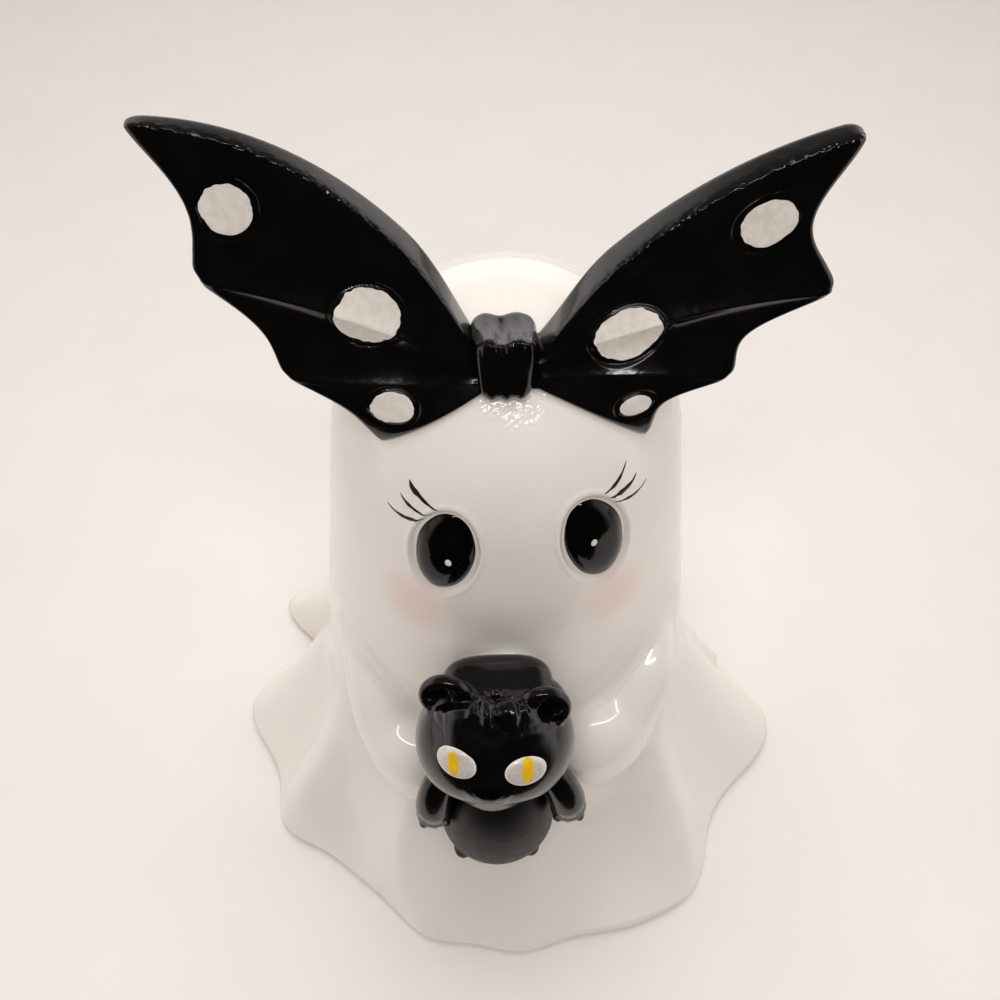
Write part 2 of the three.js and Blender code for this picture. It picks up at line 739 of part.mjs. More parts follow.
// Arms, each with a glue peg into the body.
for (const [name, stations] of Object.entries(arms)) {
  const { azimuth, rise } = stations[3];
  const { point, outward } = onBody(azimuth, hugHeight + rise);
  const start = point.clone().addScaledVector(outward, glueGap + pegInset);
  const inward = outward.clone().negate();
  const arm = largest(sleeve(stations).subtract(bodySpace));
  pieces[name] = { body: arm.add(peg(start, inward, armPegRadius, armPegLength)), finish: glossWhite };
  sockets.push(pegHole(start, inward, armPegRadius, armPegLength));
}
const armSpace = sleeve(arms.left_arm, glueGap).add(sleeve(arms.right_arm, glueGap));

// Torso of the cat: on the body between the arms, pegged into the body and up into the head.
const headSpace = headSkin(glueGap);
const torsoSpace = blob(catTorsoMiddle, catTorso, glueGap, shapeTorso);
const footSizes = { wide: footRadius, deep: footLength, tall: footRadius };
let torso = blob(catTorsoMiddle, catTorso, 0, shapeTorso);
for (const side of [-1, 1]) {
  const foot = new THREE.Vector3(side * footSpread, -footAhead, -footBelow);
  foot.add(catTorsoMiddle);
  torso = torso.add(blob(foot, footSizes, 0, undefined, 10));
}
torso = largest(torso.subtract(bodySpace).subtract(armSpace).subtract(headSpace));
const neckHeight = catHeadMiddle.z - catHead.tall - neckPegBelow;
const neckStart = new THREE.Vector3(catTorsoMiddle.x, catTorsoMiddle.y, neckHeight);
torso = torso.add(peg(neckStart, up, neckPegRadius, neckPegLength));
const torsoSeat = onBody(0, catTorsoMiddle.z);
const torsoStart = new THREE.Vector3(catTorso.across, torsoSeat.point.y - pegInset, catTorsoMiddle.z);
const torsoInward = torsoSeat.outward.clone().negate();
torso = torso.add(peg(torsoStart, torsoInward, torsoPegRadius, torsoPegLength));
sockets.push(pegHole(torsoStart, torsoInward, torsoPegRadius, torsoPegLength));
pieces.cat_torso = { body: torso, finish: glossBlack };

// Head of the cat with its ears, over the torso, and an eye set into each side of the face.
let head = headSkin();
for (const place of catEars) head = head.add(ear(place));
head = largest(head.subtract(bodySpace).subtract(armSpace));
head = head.subtract(pegHole(neckStart, up, neckPegRadius, neckPegLength));
for (const [name, eye] of Object.entries(catEyes)) {
  const seat = blob(catHeadMiddle, catHead, -catEyeDepth, shapeHead);
  const front = blob(catHeadMiddle, catHead, catEyeProud, shapeHead);
  const hollow = blob(catHeadMiddle, catHead, -catEyeDepth - glueGap, shapeHead);
  pieces[name] = { body: eyeColumn(eye, 0).intersect(front).subtract(seat), finish: paleEye };
  head = head.subtract(eyeColumn(eye, glueGap).subtract(hollow));
}
pieces.cat_head = { body: head, finish: glossBlack };

// Forelegs of the cat, laid against everything behind them.
for (const [name, points] of Object.entries(forelegs)) {
  const leg = foreleg(points).subtract(headSpace).subtract(torsoSpace).subtract(armSpace).subtract(bodySpace);
  pieces[name] = { body: largest(leg), finish: glossBlack };
}

// Bow: the knot is pegged into the crown, and each wing is pegged into the side of the knot.
const knotSeat = bowPoint(knotSideways, knotPegInset - knotTall - knotDrop, -knotBack);
const knotDown = bowUp.clone().negate();
let knot = largest(knotSkin().subtract(bodySpace)).add(peg(knotSeat, knotDown, knotPegRadius, knotPegDepth));
sockets.push(pegHole(knotSeat, knotDown, knotPegRadius, knotPegDepth));
const knotSpace = knotSkin(glueGap);
for (const [name, wing] of Object.entries(wings)) {
  const rootAcross = knotSideways + wing.side * (knotWidth / 2 + wingPegLength / 2);
  const start = bowPoint(rootAcross, -wingPegDrop, -sparThickness / 3);
  const inward = across.clone().multiplyScalar(-wing.side);
  const skin = largest(wingSkin(wing).subtract(bodySpace).subtract(knotSpace));
  pieces[name] = { body: skin.add(peg(start, inward, wingPegRadius, wingPegLength)), finish: glossBlack };
  knot = knot.subtract(pegHole(start, inward, wingPegRadius, wingPegLength));
}
pieces.bow_knot = { body: knot, finish: glossBlack };

// Underside: the plate fills a recess in the body, and the felt covers both.
const recessRadius = plateRadius + glueGap;
const recessDepth = plateThickness + glueGap;
const recess = new THREE.CylinderGeometry(recessRadius, recessRadius, 2 * recessDepth, discSides);
sockets.push(solid(recess.rotateX(Math.PI / 2)));
const plateOutline = [
  new THREE.Vector2(0, 0),
  new THREE.Vector2(plateRadius, 0),
  new THREE.Vector2(plateRadius, plateThickness - plateChamfer),
  new THREE.Vector2(plateRadius - plateChamfer, plateThickness),
  new THREE.Vector2(0, plateThickness),
];
const plate = new THREE.LatheGeometry(plateOutline, discSides).rotateX(Math.PI / 2);
pieces.base_plate = { body: solid(plate), finish: plateGrey };
const felt = new THREE.CylinderGeometry(feltRadius, feltRadius, feltThickness, discSides);
felt.rotateX(Math.PI / 2).translate(0, 0, -feltThickness / 2);
pieces.felt_disc = { body: solid(felt), finish: feltWhite };

// The body of the ghost, with every socket cut.
let body = bodySkin();
for (const socket of sockets) body = body.subtract(socket);
pieces.ghost_body = { body: largest(body), finish: glossWhite };

const group = new THREE.Group();
for (const [name, piece] of Object.entries(pieces)) {
  const mesh = new THREE.Mesh(geometryOf(piece.body), new THREE.MeshStandardMaterial(piece.finish));
  mesh.name = name;
  group.add(mesh);
}

// The origin is at the middle of the footprint, on the floor.
const bounds = new THREE.Box3().setFromObject(group);
const middle = bounds.getCenter(new THREE.Vector3());
group.position.set(-middle.x, -middle.y, -bounds.min.z);
group.updateMatrixWorld(true);

export default group;
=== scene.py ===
"""Looks of the ghost figurine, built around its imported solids.

Forms are worked out in millimetres about the ghost's own axis, with the tabletop side of the body
at height 0, and are then set into the frame in metres. The ghost looks along -Y.
"""

import math

import bpy
import numpy as np
from mathutils import Matrix, Vector
from mathutils.bvhtree import BVHTree


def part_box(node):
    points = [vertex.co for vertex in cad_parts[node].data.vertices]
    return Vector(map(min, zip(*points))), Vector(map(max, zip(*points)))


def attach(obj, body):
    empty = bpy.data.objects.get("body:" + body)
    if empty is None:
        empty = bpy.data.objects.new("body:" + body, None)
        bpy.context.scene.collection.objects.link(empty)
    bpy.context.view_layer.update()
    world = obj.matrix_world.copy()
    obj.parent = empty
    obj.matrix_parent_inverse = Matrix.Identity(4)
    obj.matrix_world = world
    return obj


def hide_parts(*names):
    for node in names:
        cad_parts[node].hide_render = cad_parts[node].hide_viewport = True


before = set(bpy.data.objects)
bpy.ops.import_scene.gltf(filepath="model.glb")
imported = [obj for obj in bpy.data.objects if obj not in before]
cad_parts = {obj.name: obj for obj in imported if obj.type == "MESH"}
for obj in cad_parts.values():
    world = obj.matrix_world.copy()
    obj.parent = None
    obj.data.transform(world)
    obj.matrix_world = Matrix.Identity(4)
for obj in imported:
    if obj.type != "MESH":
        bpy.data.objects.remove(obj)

bl_info = {
    "name": "Ghost figurine",
    "version": (1, 0, 0),
    "blender": (4, 5, 0),
    "location": "View3D > Sidebar > Figurine",
    "description": "Dresses the packed ghost figurine in its varnish, paint and felt",
    "category": "Object",
}

MM = 0.001
# A melted form with fewer faces than this has been lost.
FEWEST_FACES = 100
# Steps in which a soft joint between two forms is worked out.
BLEND_STEPS = 12
FELT_LOW, FELT_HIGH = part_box("felt_disc")
ORIGIN = np.array([
    (FELT_LOW.x + FELT_HIGH.x) / 2,
    (FELT_LOW.y + FELT_HIGH.y) / 2,
    FELT_HIGH.z,
]) / MM

# Ghost body, in millimetres and degrees.
HEAD_RADIUS = 57.0
HEAD_HEIGHT = 171.0
SIDE_SLOPE = 0.135
FLARE_REACH = 24.0
FLARE_HEIGHT = 62.0
FOLD_TOP = 82.0
HEM_LIP = 3.0
RECESS_RADIUS = 70.3
RECESS_DEPTH = 4.0
TAPER = math.atan(SIDE_SLOPE)
SHOULDER = HEAD_HEIGHT + HEAD_RADIUS * math.sin(TAPER)
# Degrees either side of the front where the body's columns are close together.
FINE_SIDE = 76
# Wrinkles of the varnish below the knot: middle and spread.
FRONT_WRINKLES = ((2.0, -34.5, 216), 8)

# Folds of the skirt: place, reach at the hem, half width, swell on the way up, turn on the way up.
FOLDS = [
    (-143, 8, 12, 6, 4), (-116, 11, 7, 1, 0), (-103, -22, 8, -2, 0), (-88, 10, 12, 5, 0),
    (-57, 8, 8, 9, -5), (-28, 1, 7, 5, -2), (-17, 9, 9, 3, 0), (0, 10, 10, 4, 0),
    (23, 11, 14, -3, 0), (38, 10, 10, 9, 14), (77, 14, 13, 6, 0), (91, -10, 5, -1, 0),
    (109, -16, 9, -1, 0), (147, 8, 13, 6, -4), (182, 6, 12, 5, 3),
]

# Eyes of the ghost: azimuth, height, roll, half width and half height, and where the painted
# highlight lies.
EYES = {
    "left_eye": (25.4, 176.2, 15.0, (9.6, 16.2), (23.2, 178.3)),
    "right_eye": (-21.6, 174.4, -11.0, (9.25, 15.5), (-19.3, 173.7)),
}
EYE_RIM = 1.7
EYE_ROUND = 4.5
EYE_FOOT = 1.2
EYE_LIGHT_HALF = (1.05, 1.4)
LIP_RISE = 0.3

# Lashes: azimuth and height of points from the root to the tip, the half width where the brush was
# pressed hardest, and how far along that is.
LASHES = {
    "right_lash_upper": (
        [(-23.7, 190.1), (-27.1, 190.9), (-30.6, 192.6), (-33.3, 194.0), (-35.0, 195.9)],
        1.05, 0.72,
    ),
    "right_lash_middle": (
        [(-26.1, 187.7), (-29.2, 187.4), (-32.5, 188.1), (-35.1, 189.2), (-37.2, 190.8)],
        0.68, 0.6,
    ),
    "right_lash_lower": (
        [(-28.1, 185.7), (-30.9, 184.4), (-34.5, 183.7), (-38.2, 184.0), (-41.7, 185.3)],
        0.78, 0.45,
    ),
    "left_lash_upper": (
        [(28.8, 191.8), (31.8, 192.3), (34.5, 193.4), (37.0, 195.0), (39.8, 197.3)],
        0.75, 0.45,
    ),
    "left_lash_middle": (
        [(30.7, 189.7), (33.9, 189.5), (37.0, 189.9), (40.2, 190.8), (42.5, 192.2)],
        0.95, 0.4,
    ),
    "left_lash_lower": (
        [(32.3, 187.7), (36.1, 186.6), (39.6, 186.3), (42.7, 186.7), (46.3, 187.9)],
        0.55, 0.4,
    ),
}

# Cheeks: where the pink is sprayed, across, along and up.
CHEEKS = [(-30.7, -52.0, 149.5), (31.9, -51.2, 150.3)]

# Arms: azimuth, height, stand off the body, half height and half depth of each section.
ARMS = {
    "left_arm": [
        (66, 118, -8, 6, 6), (54, 112.5, -4, 7.5, 9), (43, 104, 0, 9.5, 13),
        (33, 91.5, 0, 15, 16), (24, 83, 1, 19, 17), (12, 71.5, 0, 19, 14),
    ],
    "right_arm": [
        (-67, 111, -8, 5.5, 6), (-55, 102, -4, 7, 8.5), (-45, 91.5, -1, 9.5, 11.5),
        (-37, 80.5, 0, 13, 14.5), (-28, 72, 1, 17, 16), (-17, 63, 0, 18, 13),
    ],
}
ARM_END = 0.12
ARM_ROOT = 0.09
ARM_TUCK = 0.1
# Rows along an arm and over its rounded end, and points around it.
ARM_ROWS = 90
END_ROWS = 30
ARM_SIDES = 96
# Deeper in the body than this an arm needs no soft joint.
ARM_BURIED = -1.5

# Bow: its plane leans back, and each wing fans out along four rays drawn in that plane.
BOW_MIDDLE = np.array([0.0, -25.5, 229.0])
BOW_LEAN = math.radians(15)
ACROSS = np.array([1.0, 0.0, 0.0])
BOW_UP = np.array([0.0, math.sin(BOW_LEAN), math.cos(BOW_LEAN)])
BOW_OUT = np.array([0.0, -math.cos(BOW_LEAN), math.sin(BOW_LEAN)])
KNOT_ASIDE = -1.9
KNOT_WIDTH = 18.6
KNOT_TALL = 10.5
KNOT_DEEP = 11.0
KNOT_DROP = 2.5
KNOT_BACK = 2.0
KNOT_FLAT = 2.9
KNOT_SQUARE = 7
WINGS = {
    "left_bat_wing": {
        "side": 1,
        "rays": [
            [[8.9, -1.5], [42.8, 40.3], [87, 52]],
            [[7.7, -4.5], [53, 13], [86, 13.4]],
            [[9, -8], [34, -7.2], [60.5, -10.6]],
            [[7, -11], [22, -18.3], [38.6, -30]],
        ],
        "scallops": [0.12, 0.15, 0.16],
        "thinning": 0.3,
    },
    "right_bat_wing": {
        "side": -1,
        "rays": [
            [[9.3, -2.2], [41.8, 56], [90.5, 58.8]],
            [[8, -7], [45, 14], [80.5, 21.6]],
            [[9, -9], [38, -10], [61, -6.3]],
            [[8, -11.5], [24, -21.5], [37, -28.6]],
        ],
        "scallops": [0.07, 0.08, 0.09],
        "thinning": 0.55,
    },
}
SPAR_THICKNESS = 11.5
SPAR_ROLL = 5.5
SPAR_SQUARE = (0.41, 0.39)
SPAR_COLUMNS = 16
RIB_THICKNESS = 6.5
EDGE_THICKNESS = 4.5
PANELS = 3
CRESTS = [0.0, 1.0, 2.5]
SINKS = [2.4, 2.2, 0.0]
CREASE_RISE = 0.75
CREASE_WIDTH = 1.8
LOWER_PROUD = 1.6
ROOT_TUCK = 2.5
TIP_ROUND = 0.045
RING_GAP = 0.9
WING_ROWS = 240
WING_COLUMNS = 45

# How much of its ring a dot fills.
DOT_SHARE = 0.96
# Dots on the wings: middle in the bow plane, half sizes, turn in degrees, and a seed for the edge.
DOTS = {
    "right_bat_wing": [
        ("dot_right_outer", (-69.85, 39.1), (6.7, 6.7), -17, 3),
        ("dot_right_middle", (-37.8, 10.1), (9.0, 7.8), -9, 8),
        ("dot_right_lower", (-33.0, -15.5), (6.3, 4.8), 0, 5),
    ],
    "left_bat_wing": [
        ("dot_left_outer", (65.4, 31.9), (8.0, 6.0), 30, 6),
        ("dot_left_middle", (31.4, 2.8), (10.0, 7.0), 22, 1),
        ("dot_left_lower", (34.2, -17.2), (4.7, 3.0), 15, 2),
    ],
}

# Cat: middles and half sizes of its forms.
HEAD_MIDDLE = np.array([-7.2, -84.0, 120.0])
HEAD_HALF = np.array([25.0, 22.0, 23.0])
HEAD_TURN = -5.0
CROWN_FLAT = 19.5
CROWN_BLOCK = ((1.2, 8.8, 10.6), (17.6, 12, 9.8))
CROWN_LEAN = 12
BLOCK_SQUARE = 3.2
SHOULDERS = [((-11, 6, 10.5), (10, 10, 9.3)), ((12.5, 4.5, 9), (11, 11, 9.5))]
# Brows and muzzle: turn and lift on the head, half sizes, how deep each sinks, and its roll.
SWELLINGS = [
    (-68, 56, (9.0, 5, 4), 3.0, 20), (50, 54, (8, 4.6, 4), 3.2, -20), (-7, 12, (9, 6.5, 4), 3.2, 0),
]
# The forehead is a loaf on a slope: places and half sizes go across, up the slope and out of it.
FOREHEAD_LEAN = 36
FOREHEAD = ((-1.0, 4.5, 14.75), (15, 8, 8))
# Locks of the tuft on that slope: across at the root, across and up at the tip, and radius.
LOCKS = [
    (-5.8, -8.2, 6.8, 1.3), (-2.8, -2.4, 3.2, 2.2), (1.4, 2.0, 5.6, 1.6),
    (3.8, 5.8, 3.8, 2.1), (7.4, 9.6, 7.4, 1.2),
]
# Crumbs of paint above the locks: place on that slope, and radius.
CRUMBS = [
    ((-3.6, 14.0, 18.6), 1.5), ((0.6, 15.2, 17.6), 1.8), ((4.2, 14.4, 18.4), 1.4),
    ((7.2, 13.2, 18.8), 1.3),
]
TUFT = (0.5, 11.5, 21.0)
TUFT_SPREAD = 9
CHIN_DROP = -38.0
CHIN_SPREAD = 13.0
CHIN_PROUD = 0.8
# Cat's eyes: turn and lift on the head, roll, and turn and lift of the slit's top and bottom.
CAT_EYES = {
    "cat_left_eye": (23.8, 29.9, -16.5, ((28.9, 43.4), (21.6, 18.3))),
    "cat_right_eye": (-36.8, 34.8, 4.0, ((-43.6, 45.7), (-32.6, 23.1))),
}
CAT_EYE_WIDE = 7.0
CAT_EYE_TALL = 5.1
PEARL_SHARE = 0.93
SLIT_HALF_WIDTH = 2.05
SLIT_SHARE = 0.44
NOSE_PLACE = (-6.5, 13.5)
NOSE_HALF = (4.9, 3.7)
# Ears: where they sit, half sizes across, up and deep and how far ahead of the rim and its hollow,
# and the directions of the hairs, in degrees.
EARS = [(87, 54), (-111, 51)]
EAR_RIM = (8.5, 8.2, 4.5, 0)
EAR_HOLLOW = (6.1, 5.9, 3.3, 1.0)
EAR_HAIRS = (60, 88)
TORSO_MIDDLE = np.array([-6.6, -84.0, 64.0])
TORSO_HALF = np.array([20.0, 18.0, 22.0])
NECK_STRETCH = 1.6
# The torso is melted at a grain so many times as coarse as the head's.
TORSO_GRAIN = 1.3
FEET = [(-12.6, -8.0, -12.2), (11.4, -8.6, -11.2)]
FOOT_HALF = (3.5, 4.4, 3.5)
# Forelegs: points from shoulder to paw, from the middle of the head, and radii along them.
FORELEGS = {
    "cat_left_foreleg": [(15, 0, -18), (20.5, -4, -25), (23.5, -6, -33), (24.5, -6, -40)],
    "cat_right_foreleg": [(-15, 0, -18), (-19, -4, -25), (-20.8, -6, -33), (-21, -6, -40.5)],
}
LEG_RADII = [5, 5.3, 5.8, 6.2, 5.4]
PAW_HALF = (6.3, 5.8, 4.6)
TOES = (-3.6, 0, 3.6)
TOE_HALF = (1.9, 2.2, 1.9)

# Paint: the cheeks' spray in millimetres from its middle and at its strongest, and the way and the
# stretch of the brush streaks.
SPRAY_CORE = 2.0
SPRAY_REACH = 18.0
SPRAY_STRENGTH = 0.3
BRUSH_WAY = (0.4, 0.2, 0.7)
STREAK_STRETCH = (1, 0.28, 1)

# Where the lit floor ends in front: the gloss mirrors only what lies behind this line, in metres.
FLOOR_EDGE = -0.19

# Lamps: place, width and depth in metres, watts, and whether the gloss mirrors it.
LAMPS = {
    "soft_top": ((0.0, 0.45, 1.25), 1.2, 1.2, 9.5, False),
    "soft_ceiling": ((0.0, -0.05, 1.4), 0.9, 0.7, 1.8, False),
    "soft_front": ((0.0, -0.85, 0.95), 1.0, 0.7, 3.6, False),
    "lamp_strip": ((-0.01, -0.36, 0.78), 0.4, 0.025, 1.0, True),
}
LAMP_TARGET = Vector((0, 0, 0.13))
LAMP_TONE = "fffcf8"

# Room: its walls are pale low down and fade to a dim roof between two heights, as sines of the
# elevation. They reach higher at the sides, and are dark in front of the figure.
ROOM_TONE = "fffaf6"
SEEN_TONE = "f6ede8"
WALL_LIGHT = 1.12
ROOF_LIGHT = 0.15
FRONT_LIGHT = 0.02
WALL_FADE = (0.25, 0.58)
FRONT_FADE = (-0.15, -0.5)
SIDE_RISE = 0.5

# Camera of the photograph: its place in millimetres, its turn and lift in degrees, and its lens.
CAMERA_PLACE = np.array([-11.987, -229.318, 408.845])
CAMERA_TURN = -2.5
CAMERA_LIFT = 50
CAMERA_LENS = 36.108
CAMERA_SENSOR = 36.0

# Forms already made, for those that are blended into them or painted on them.
SKINS = {}


def linear(code):
    """The linear colour of an sRGB hex value."""
    parts = [int(code[i:i + 2], 16) / 255 for i in (0, 2, 4)]
    return tuple(c / 12.92 if c <= 0.04045 else ((c + 0.055) / 1.055) ** 2.4 for c in parts)


def length(name, description, millimetres, most=50):
    """A length that a user may change, kept in metres."""
    return bpy.props.FloatProperty(
        name=name, description=description, default=millimetres * MM,
        min=0, max=most * MM, unit="LENGTH", precision=5,
    )


def colour(name, description, code):
    """A colour that a user may change."""
    return bpy.props.FloatVectorProperty(
        name=name, description=description, default=linear(code),
        size=3, min=0, max=1, subtype="COLOR",
    )


class FIGURINE_PG_sizes(bpy.types.PropertyGroup):
    """Sizes of the details that the solids leave to the looks."""

    arm_melt: length("Arm melt", "How far the arms and the body melt into each other", 6)
    cat_melt: length("Cat melt", "How far the white climbs up the cat's head", 4)
    bow_melt: length("Bow melt", "How far the white climbs up the bow", 1.2)
    wobble: length("Wobble", "How uneven the hand-finished body is", 0.12, 2)
    rim_depth: length("Eye rim depth", "Depth of the dished rim around each eye", 1.2, 3)
    eye_proud: length("Eye dome", "How far the eyes stand out of the body", 1.4, 4)
    ring_depth: length("Dot ring depth", "Depth of the ring cut around each dot", 0.6, 2)
    ring_width: length("Dot ring width", "Half width of the ring cut around each dot", 0.55, 2)
    pleat: length("Pleat depth", "Depth of the pleats in the knot", 0.4, 2)
    wrinkle: length("Wrinkle depth", "Depth of the small wrinkles in the black paint", 0.16, 1)
    paint: length("Paint thickness", "How far painted marks stand proud", 0.12, 1)
    voxel: length("Melting grain", "Grain at which the cat's forms are melted together", 0.55, 3)
    floor_size: bpy.props.FloatProperty(
        name="Floor", description="Width of the floor", default=5, min=1, unit="LENGTH",
    )


class FIGURINE_PG_colours(bpy.types.PropertyGroup):
    """Colours of the paints and the other finishes."""

    white: colour("White paint", "Varnished white of the ghost", "f3ece6")
    blush: colour("Blush", "Sprayed pink of the cheeks", "eaa79a")
    black: colour("Black paint", "Gloss black of the cat and the bow", "070606")
    eye: colour("Eye lacquer", "Black lacquer of the ghost's eyes", "030303")
    lash: colour("Lash ink", "Brown-black of the lashes", "1d1613")
    dot: colour("Dot paint", "Warm white of the dots and highlights", "e8e0d8")
    pearl: colour("Pearl paint", "Pearl grey of the cat's eyes", "d6d1cc")
    yellow: colour("Yellow paint", "Yellow of the slits", "eebd00")
    resin: colour("Bare resin", "Unpainted resin of the base plate", "d8d2c8")
    felt: colour("Felt", "Pressed felt under the base", "e6e2da")
    floor: colour("Floor", "Pale paper under the figurine", "f4eeea")


# Numbers and surfaces


def mix(a, b, t):
    """A value between two others, at a share of the way."""
    return a + (b - a) * t


def ease(low, high, x):
    """0 below low, 1 above high, and a smooth step between."""
    t = np.clip((x - low) / (high - low), 0, 1)
    return t * t * (3 - 2 * t)


def unit(v):
    """Vectors brought to a length of one."""
    return v / np.maximum(np.linalg.norm(v, axis=-1, keepdims=True), 1e-12)


def around(azimuth, radius, height):
    """Points at azimuths in degrees from the front, distances from the axis and heights."""
    turn = np.radians(azimuth)
    return np.stack(np.broadcast_arrays(radius * np.sin(turn), -radius * np.cos(turn), height), -1)


def ripples(points, wavelength, seed, count=9):
    """A smooth unevenness between about -1 and 1 whose bumps are a wavelength across."""
    draw = np.random.default_rng(seed)
    ways = unit(draw.normal(size=(count, 3)))
    ways = ways * 2 * np.pi / (wavelength * draw.uniform(0.7, 1.4, (count, 1)))
    phases = draw.uniform(0, 2 * np.pi, count)
    return np.cos(points @ ways.T + phases).sum(-1) / math.sqrt(count) / 1.4


def side_radius(height):
    """Radius of the body before the skirt: a taper that meets the round of the head."""
    ball = np.sqrt(np.maximum(0, HEAD_RADIUS ** 2 - (height - HEAD_HEIGHT) ** 2))
    return np.where(
        height > SHOULDER, ball,
        HEAD_RADIUS * math.cos(TAPER) + SIDE_SLOPE * (SHOULDER - height),
    )


def skirt(azimuth, height):
    """How far the flared and folded skirt stands out from the straight side."""
    above = np.maximum(0, height - HEM_LIP)
    rise = above / FOLD_TOP
    reach = FLARE_REACH * np.clip(1 - above / FLARE_HEIGHT, 0, 1) ** 2
    low = np.clip(1 - rise, 0, 1) ** 4
    swelling = np.sin(np.pi * np.sqrt(np.minimum(rise, 1))) ** 2
    for at, out, spread, climb, turn in FOLDS:
        away = ((azimuth - at - turn * rise + 540) % 360 - 180) / spread
        reach = reach + (out * low + climb * swelling) * np.exp(-away ** 2)
    return reach


def body_radius(azimuth, height):
    """Radius of the whole body, skirt and folds included."""
    return side_radius(height) + skirt(azimuth, height)


def on_body(azimuth, height):
    """The point of the body at azimuths and heights, and the way out of the body there."""
    azimuth, height = np.asarray(azimuth, float), np.asarray(height, float)
    slope = body_radius(azimuth, height + 0.5) - body_radius(azimuth, height - 0.5)
    outward = unit(around(azimuth, 1.0, -slope))
    return around(azimuth, body_radius(azimuth, height), height), outward


def off_body(points):
    """How far points stand off the body, which is less than zero inside it."""
    azimuth = np.degrees(np.arctan2(points[:, 0], -points[:, 1]))
    height = points[:, 2]
    slope = body_radius(azimuth, height + 0.5) - body_radius(azimuth, height - 0.5)
    reach = np.hypot(points[:, 0], points[:, 1]) - body_radius(azimuth, height)
    return reach / np.sqrt(1 + slope ** 2)


def spline(knots, shares):
    """Points on the smooth curve through knots, whose first three columns are their places."""
    knots = np.asarray(knots, float)
    padded = np.vstack([2 * knots[0] - knots[1], knots, 2 * knots[-1] - knots[-2]])
    made = []
    for share in shares:
        place = min(max(share, 0), 1) * (len(knots) - 1)
        k = min(int(place), len(knots) - 2)
        t = place - k
        a, b, c, d = padded[k:k + 4]
        gaps = [np.linalg.norm((q - p)[:3]) for p, q in ((a, b), (b, c), (c, d))]
        s0, s1, s2 = (max(gap, 1e-6) ** 0.5 for gap in gaps)
        out = ((b - a) / s0 - (c - a) / (s0 + s1) + (c - b) / s1) * s1
        into = ((c - b) / s1 - (d - b) / (s1 + s2) + (d - c) / s2) * s1
        square = (3 * (c - b) - 2 * out - into) * t * t
        cube = (2 * (b - c) + out + into) * t ** 3
        made.append(b + out * t + square + cube)
    return np.array(made)


def bow_point(sideways, upward, outward):
    """Points from their places across, up and out of the bow's plane."""
    parts = np.broadcast_arrays(sideways, upward, outward)
    axes = ACROSS, BOW_UP, BOW_OUT
    return BOW_MIDDLE + sum(np.multiply.outer(p, axis) for p, axis in zip(parts, axes))


def head_front(sideways, upward):
    """How far in front of the bow's plane the surface of the ghost's head is."""
    from_head = bow_point(sideways, upward, 0.0) - np.array([0, 0, HEAD_HEIGHT])
    level = from_head @ BOW_OUT
    inside = HEAD_RADIUS ** 2 - (from_head ** 2).sum(-1) + level ** 2
    return np.sqrt(np.maximum(0, inside)) - level


# Meshes


def loft(rings, first=None, last=None):
    """The closed skin over a row of rings, each end closed by a fan around its middle point."""
    rows, sides = rings.shape[:2]
    first = rings[0].mean(0) if first is None else first
    last = rings[-1].mean(0) if last is None else last
    points = np.vstack([rings.reshape(-1, 3), first, last])
    s = np.arange(sides)
    n = (s + 1) % sides
    start = (np.arange(rows - 1) * sides)[:, None]
    quads = np.stack([start + s, start + n, start + n + sides, start + s + sides], -1)
    quads = quads.reshape(-1, 4)
    end = (rows - 1) * sides
    fans = [np.stack([np.full(sides, rows * sides), n, s], -1)]
    fans.append(np.stack([np.full(sides, rows * sides + 1), end + s, end + n], -1))
    return points, quads.tolist() + np.vstack(fans).tolist()


def slab(front, back):
    """The closed skin over two grids of points, stitched together around their edge."""
    rows, columns = front.shape[:2]
    count = rows * columns
    index = np.arange(count).reshape(rows, columns)
    a, b, c, d = index[:-1, :-1], index[:-1, 1:], index[1:, 1:], index[1:, :-1]
    quads = np.stack([a, b, c, d], -1).reshape(-1, 4)
    rear = np.stack([a, d, c, b], -1).reshape(-1, 4) + count
    edge = np.concatenate([index[0, :-1], index[:-1, -1], index[-1, :0:-1], index[:0:-1, 0]])
    after = np.roll(edge, -1)
    rim = np.stack([edge, edge + count, after + count, after], -1)
    points = np.vstack([front.reshape(-1, 3), back.reshape(-1, 3)])
    return points, quads.tolist() + rear.tolist() + rim.tolist()


def ball(middle, half, shape=None, axes=np.eye(3), sides=64):
    """A closed round form: an ellipsoid whose surface may then be pushed about."""
    lift = np.radians(np.linspace(-88, 88, sides // 2))[:, None]
    turn = np.radians(np.linspace(0, 360, sides, endpoint=False))[None]
    level = np.cos(lift)
    ways = np.stack([level * np.sin(turn), -level * np.cos(turn), np.sin(lift) + 0 * turn], -1)
    ways = np.concatenate([ways.reshape(-1, 3), [[0, 0, -1], [0, 0, 1]]])
    points = ways * np.asarray(half, float)
    if shape:
        points = shape(points, ways)
    points = points @ np.asarray(axes) + middle
    return loft(points[:-2].reshape(len(lift), sides, 3), points[-2], points[-1])


def rod(knots, radii, sides=20, steps=24):
    """A closed tube along a smooth curve, with the radii spread along it."""
    shares = np.linspace(0, 1, steps)
    path = spline(knots, shares)
    along = unit(np.gradient(path, axis=0))
    x = unit(np.cross(along, [0.31, 0.95, 0.02]))
    y = np.cross(along, x)
    thick = np.interp(shares, np.linspace(0, 1, len(radii)), radii)[:, None, None]
    turn = np.linspace(0, 2 * np.pi, sides, endpoint=False)[:, None]
    rings = path[:, None] + thick * (x[:, None] * np.cos(turn) + y[:, None] * np.sin(turn))
    return loft(rings)


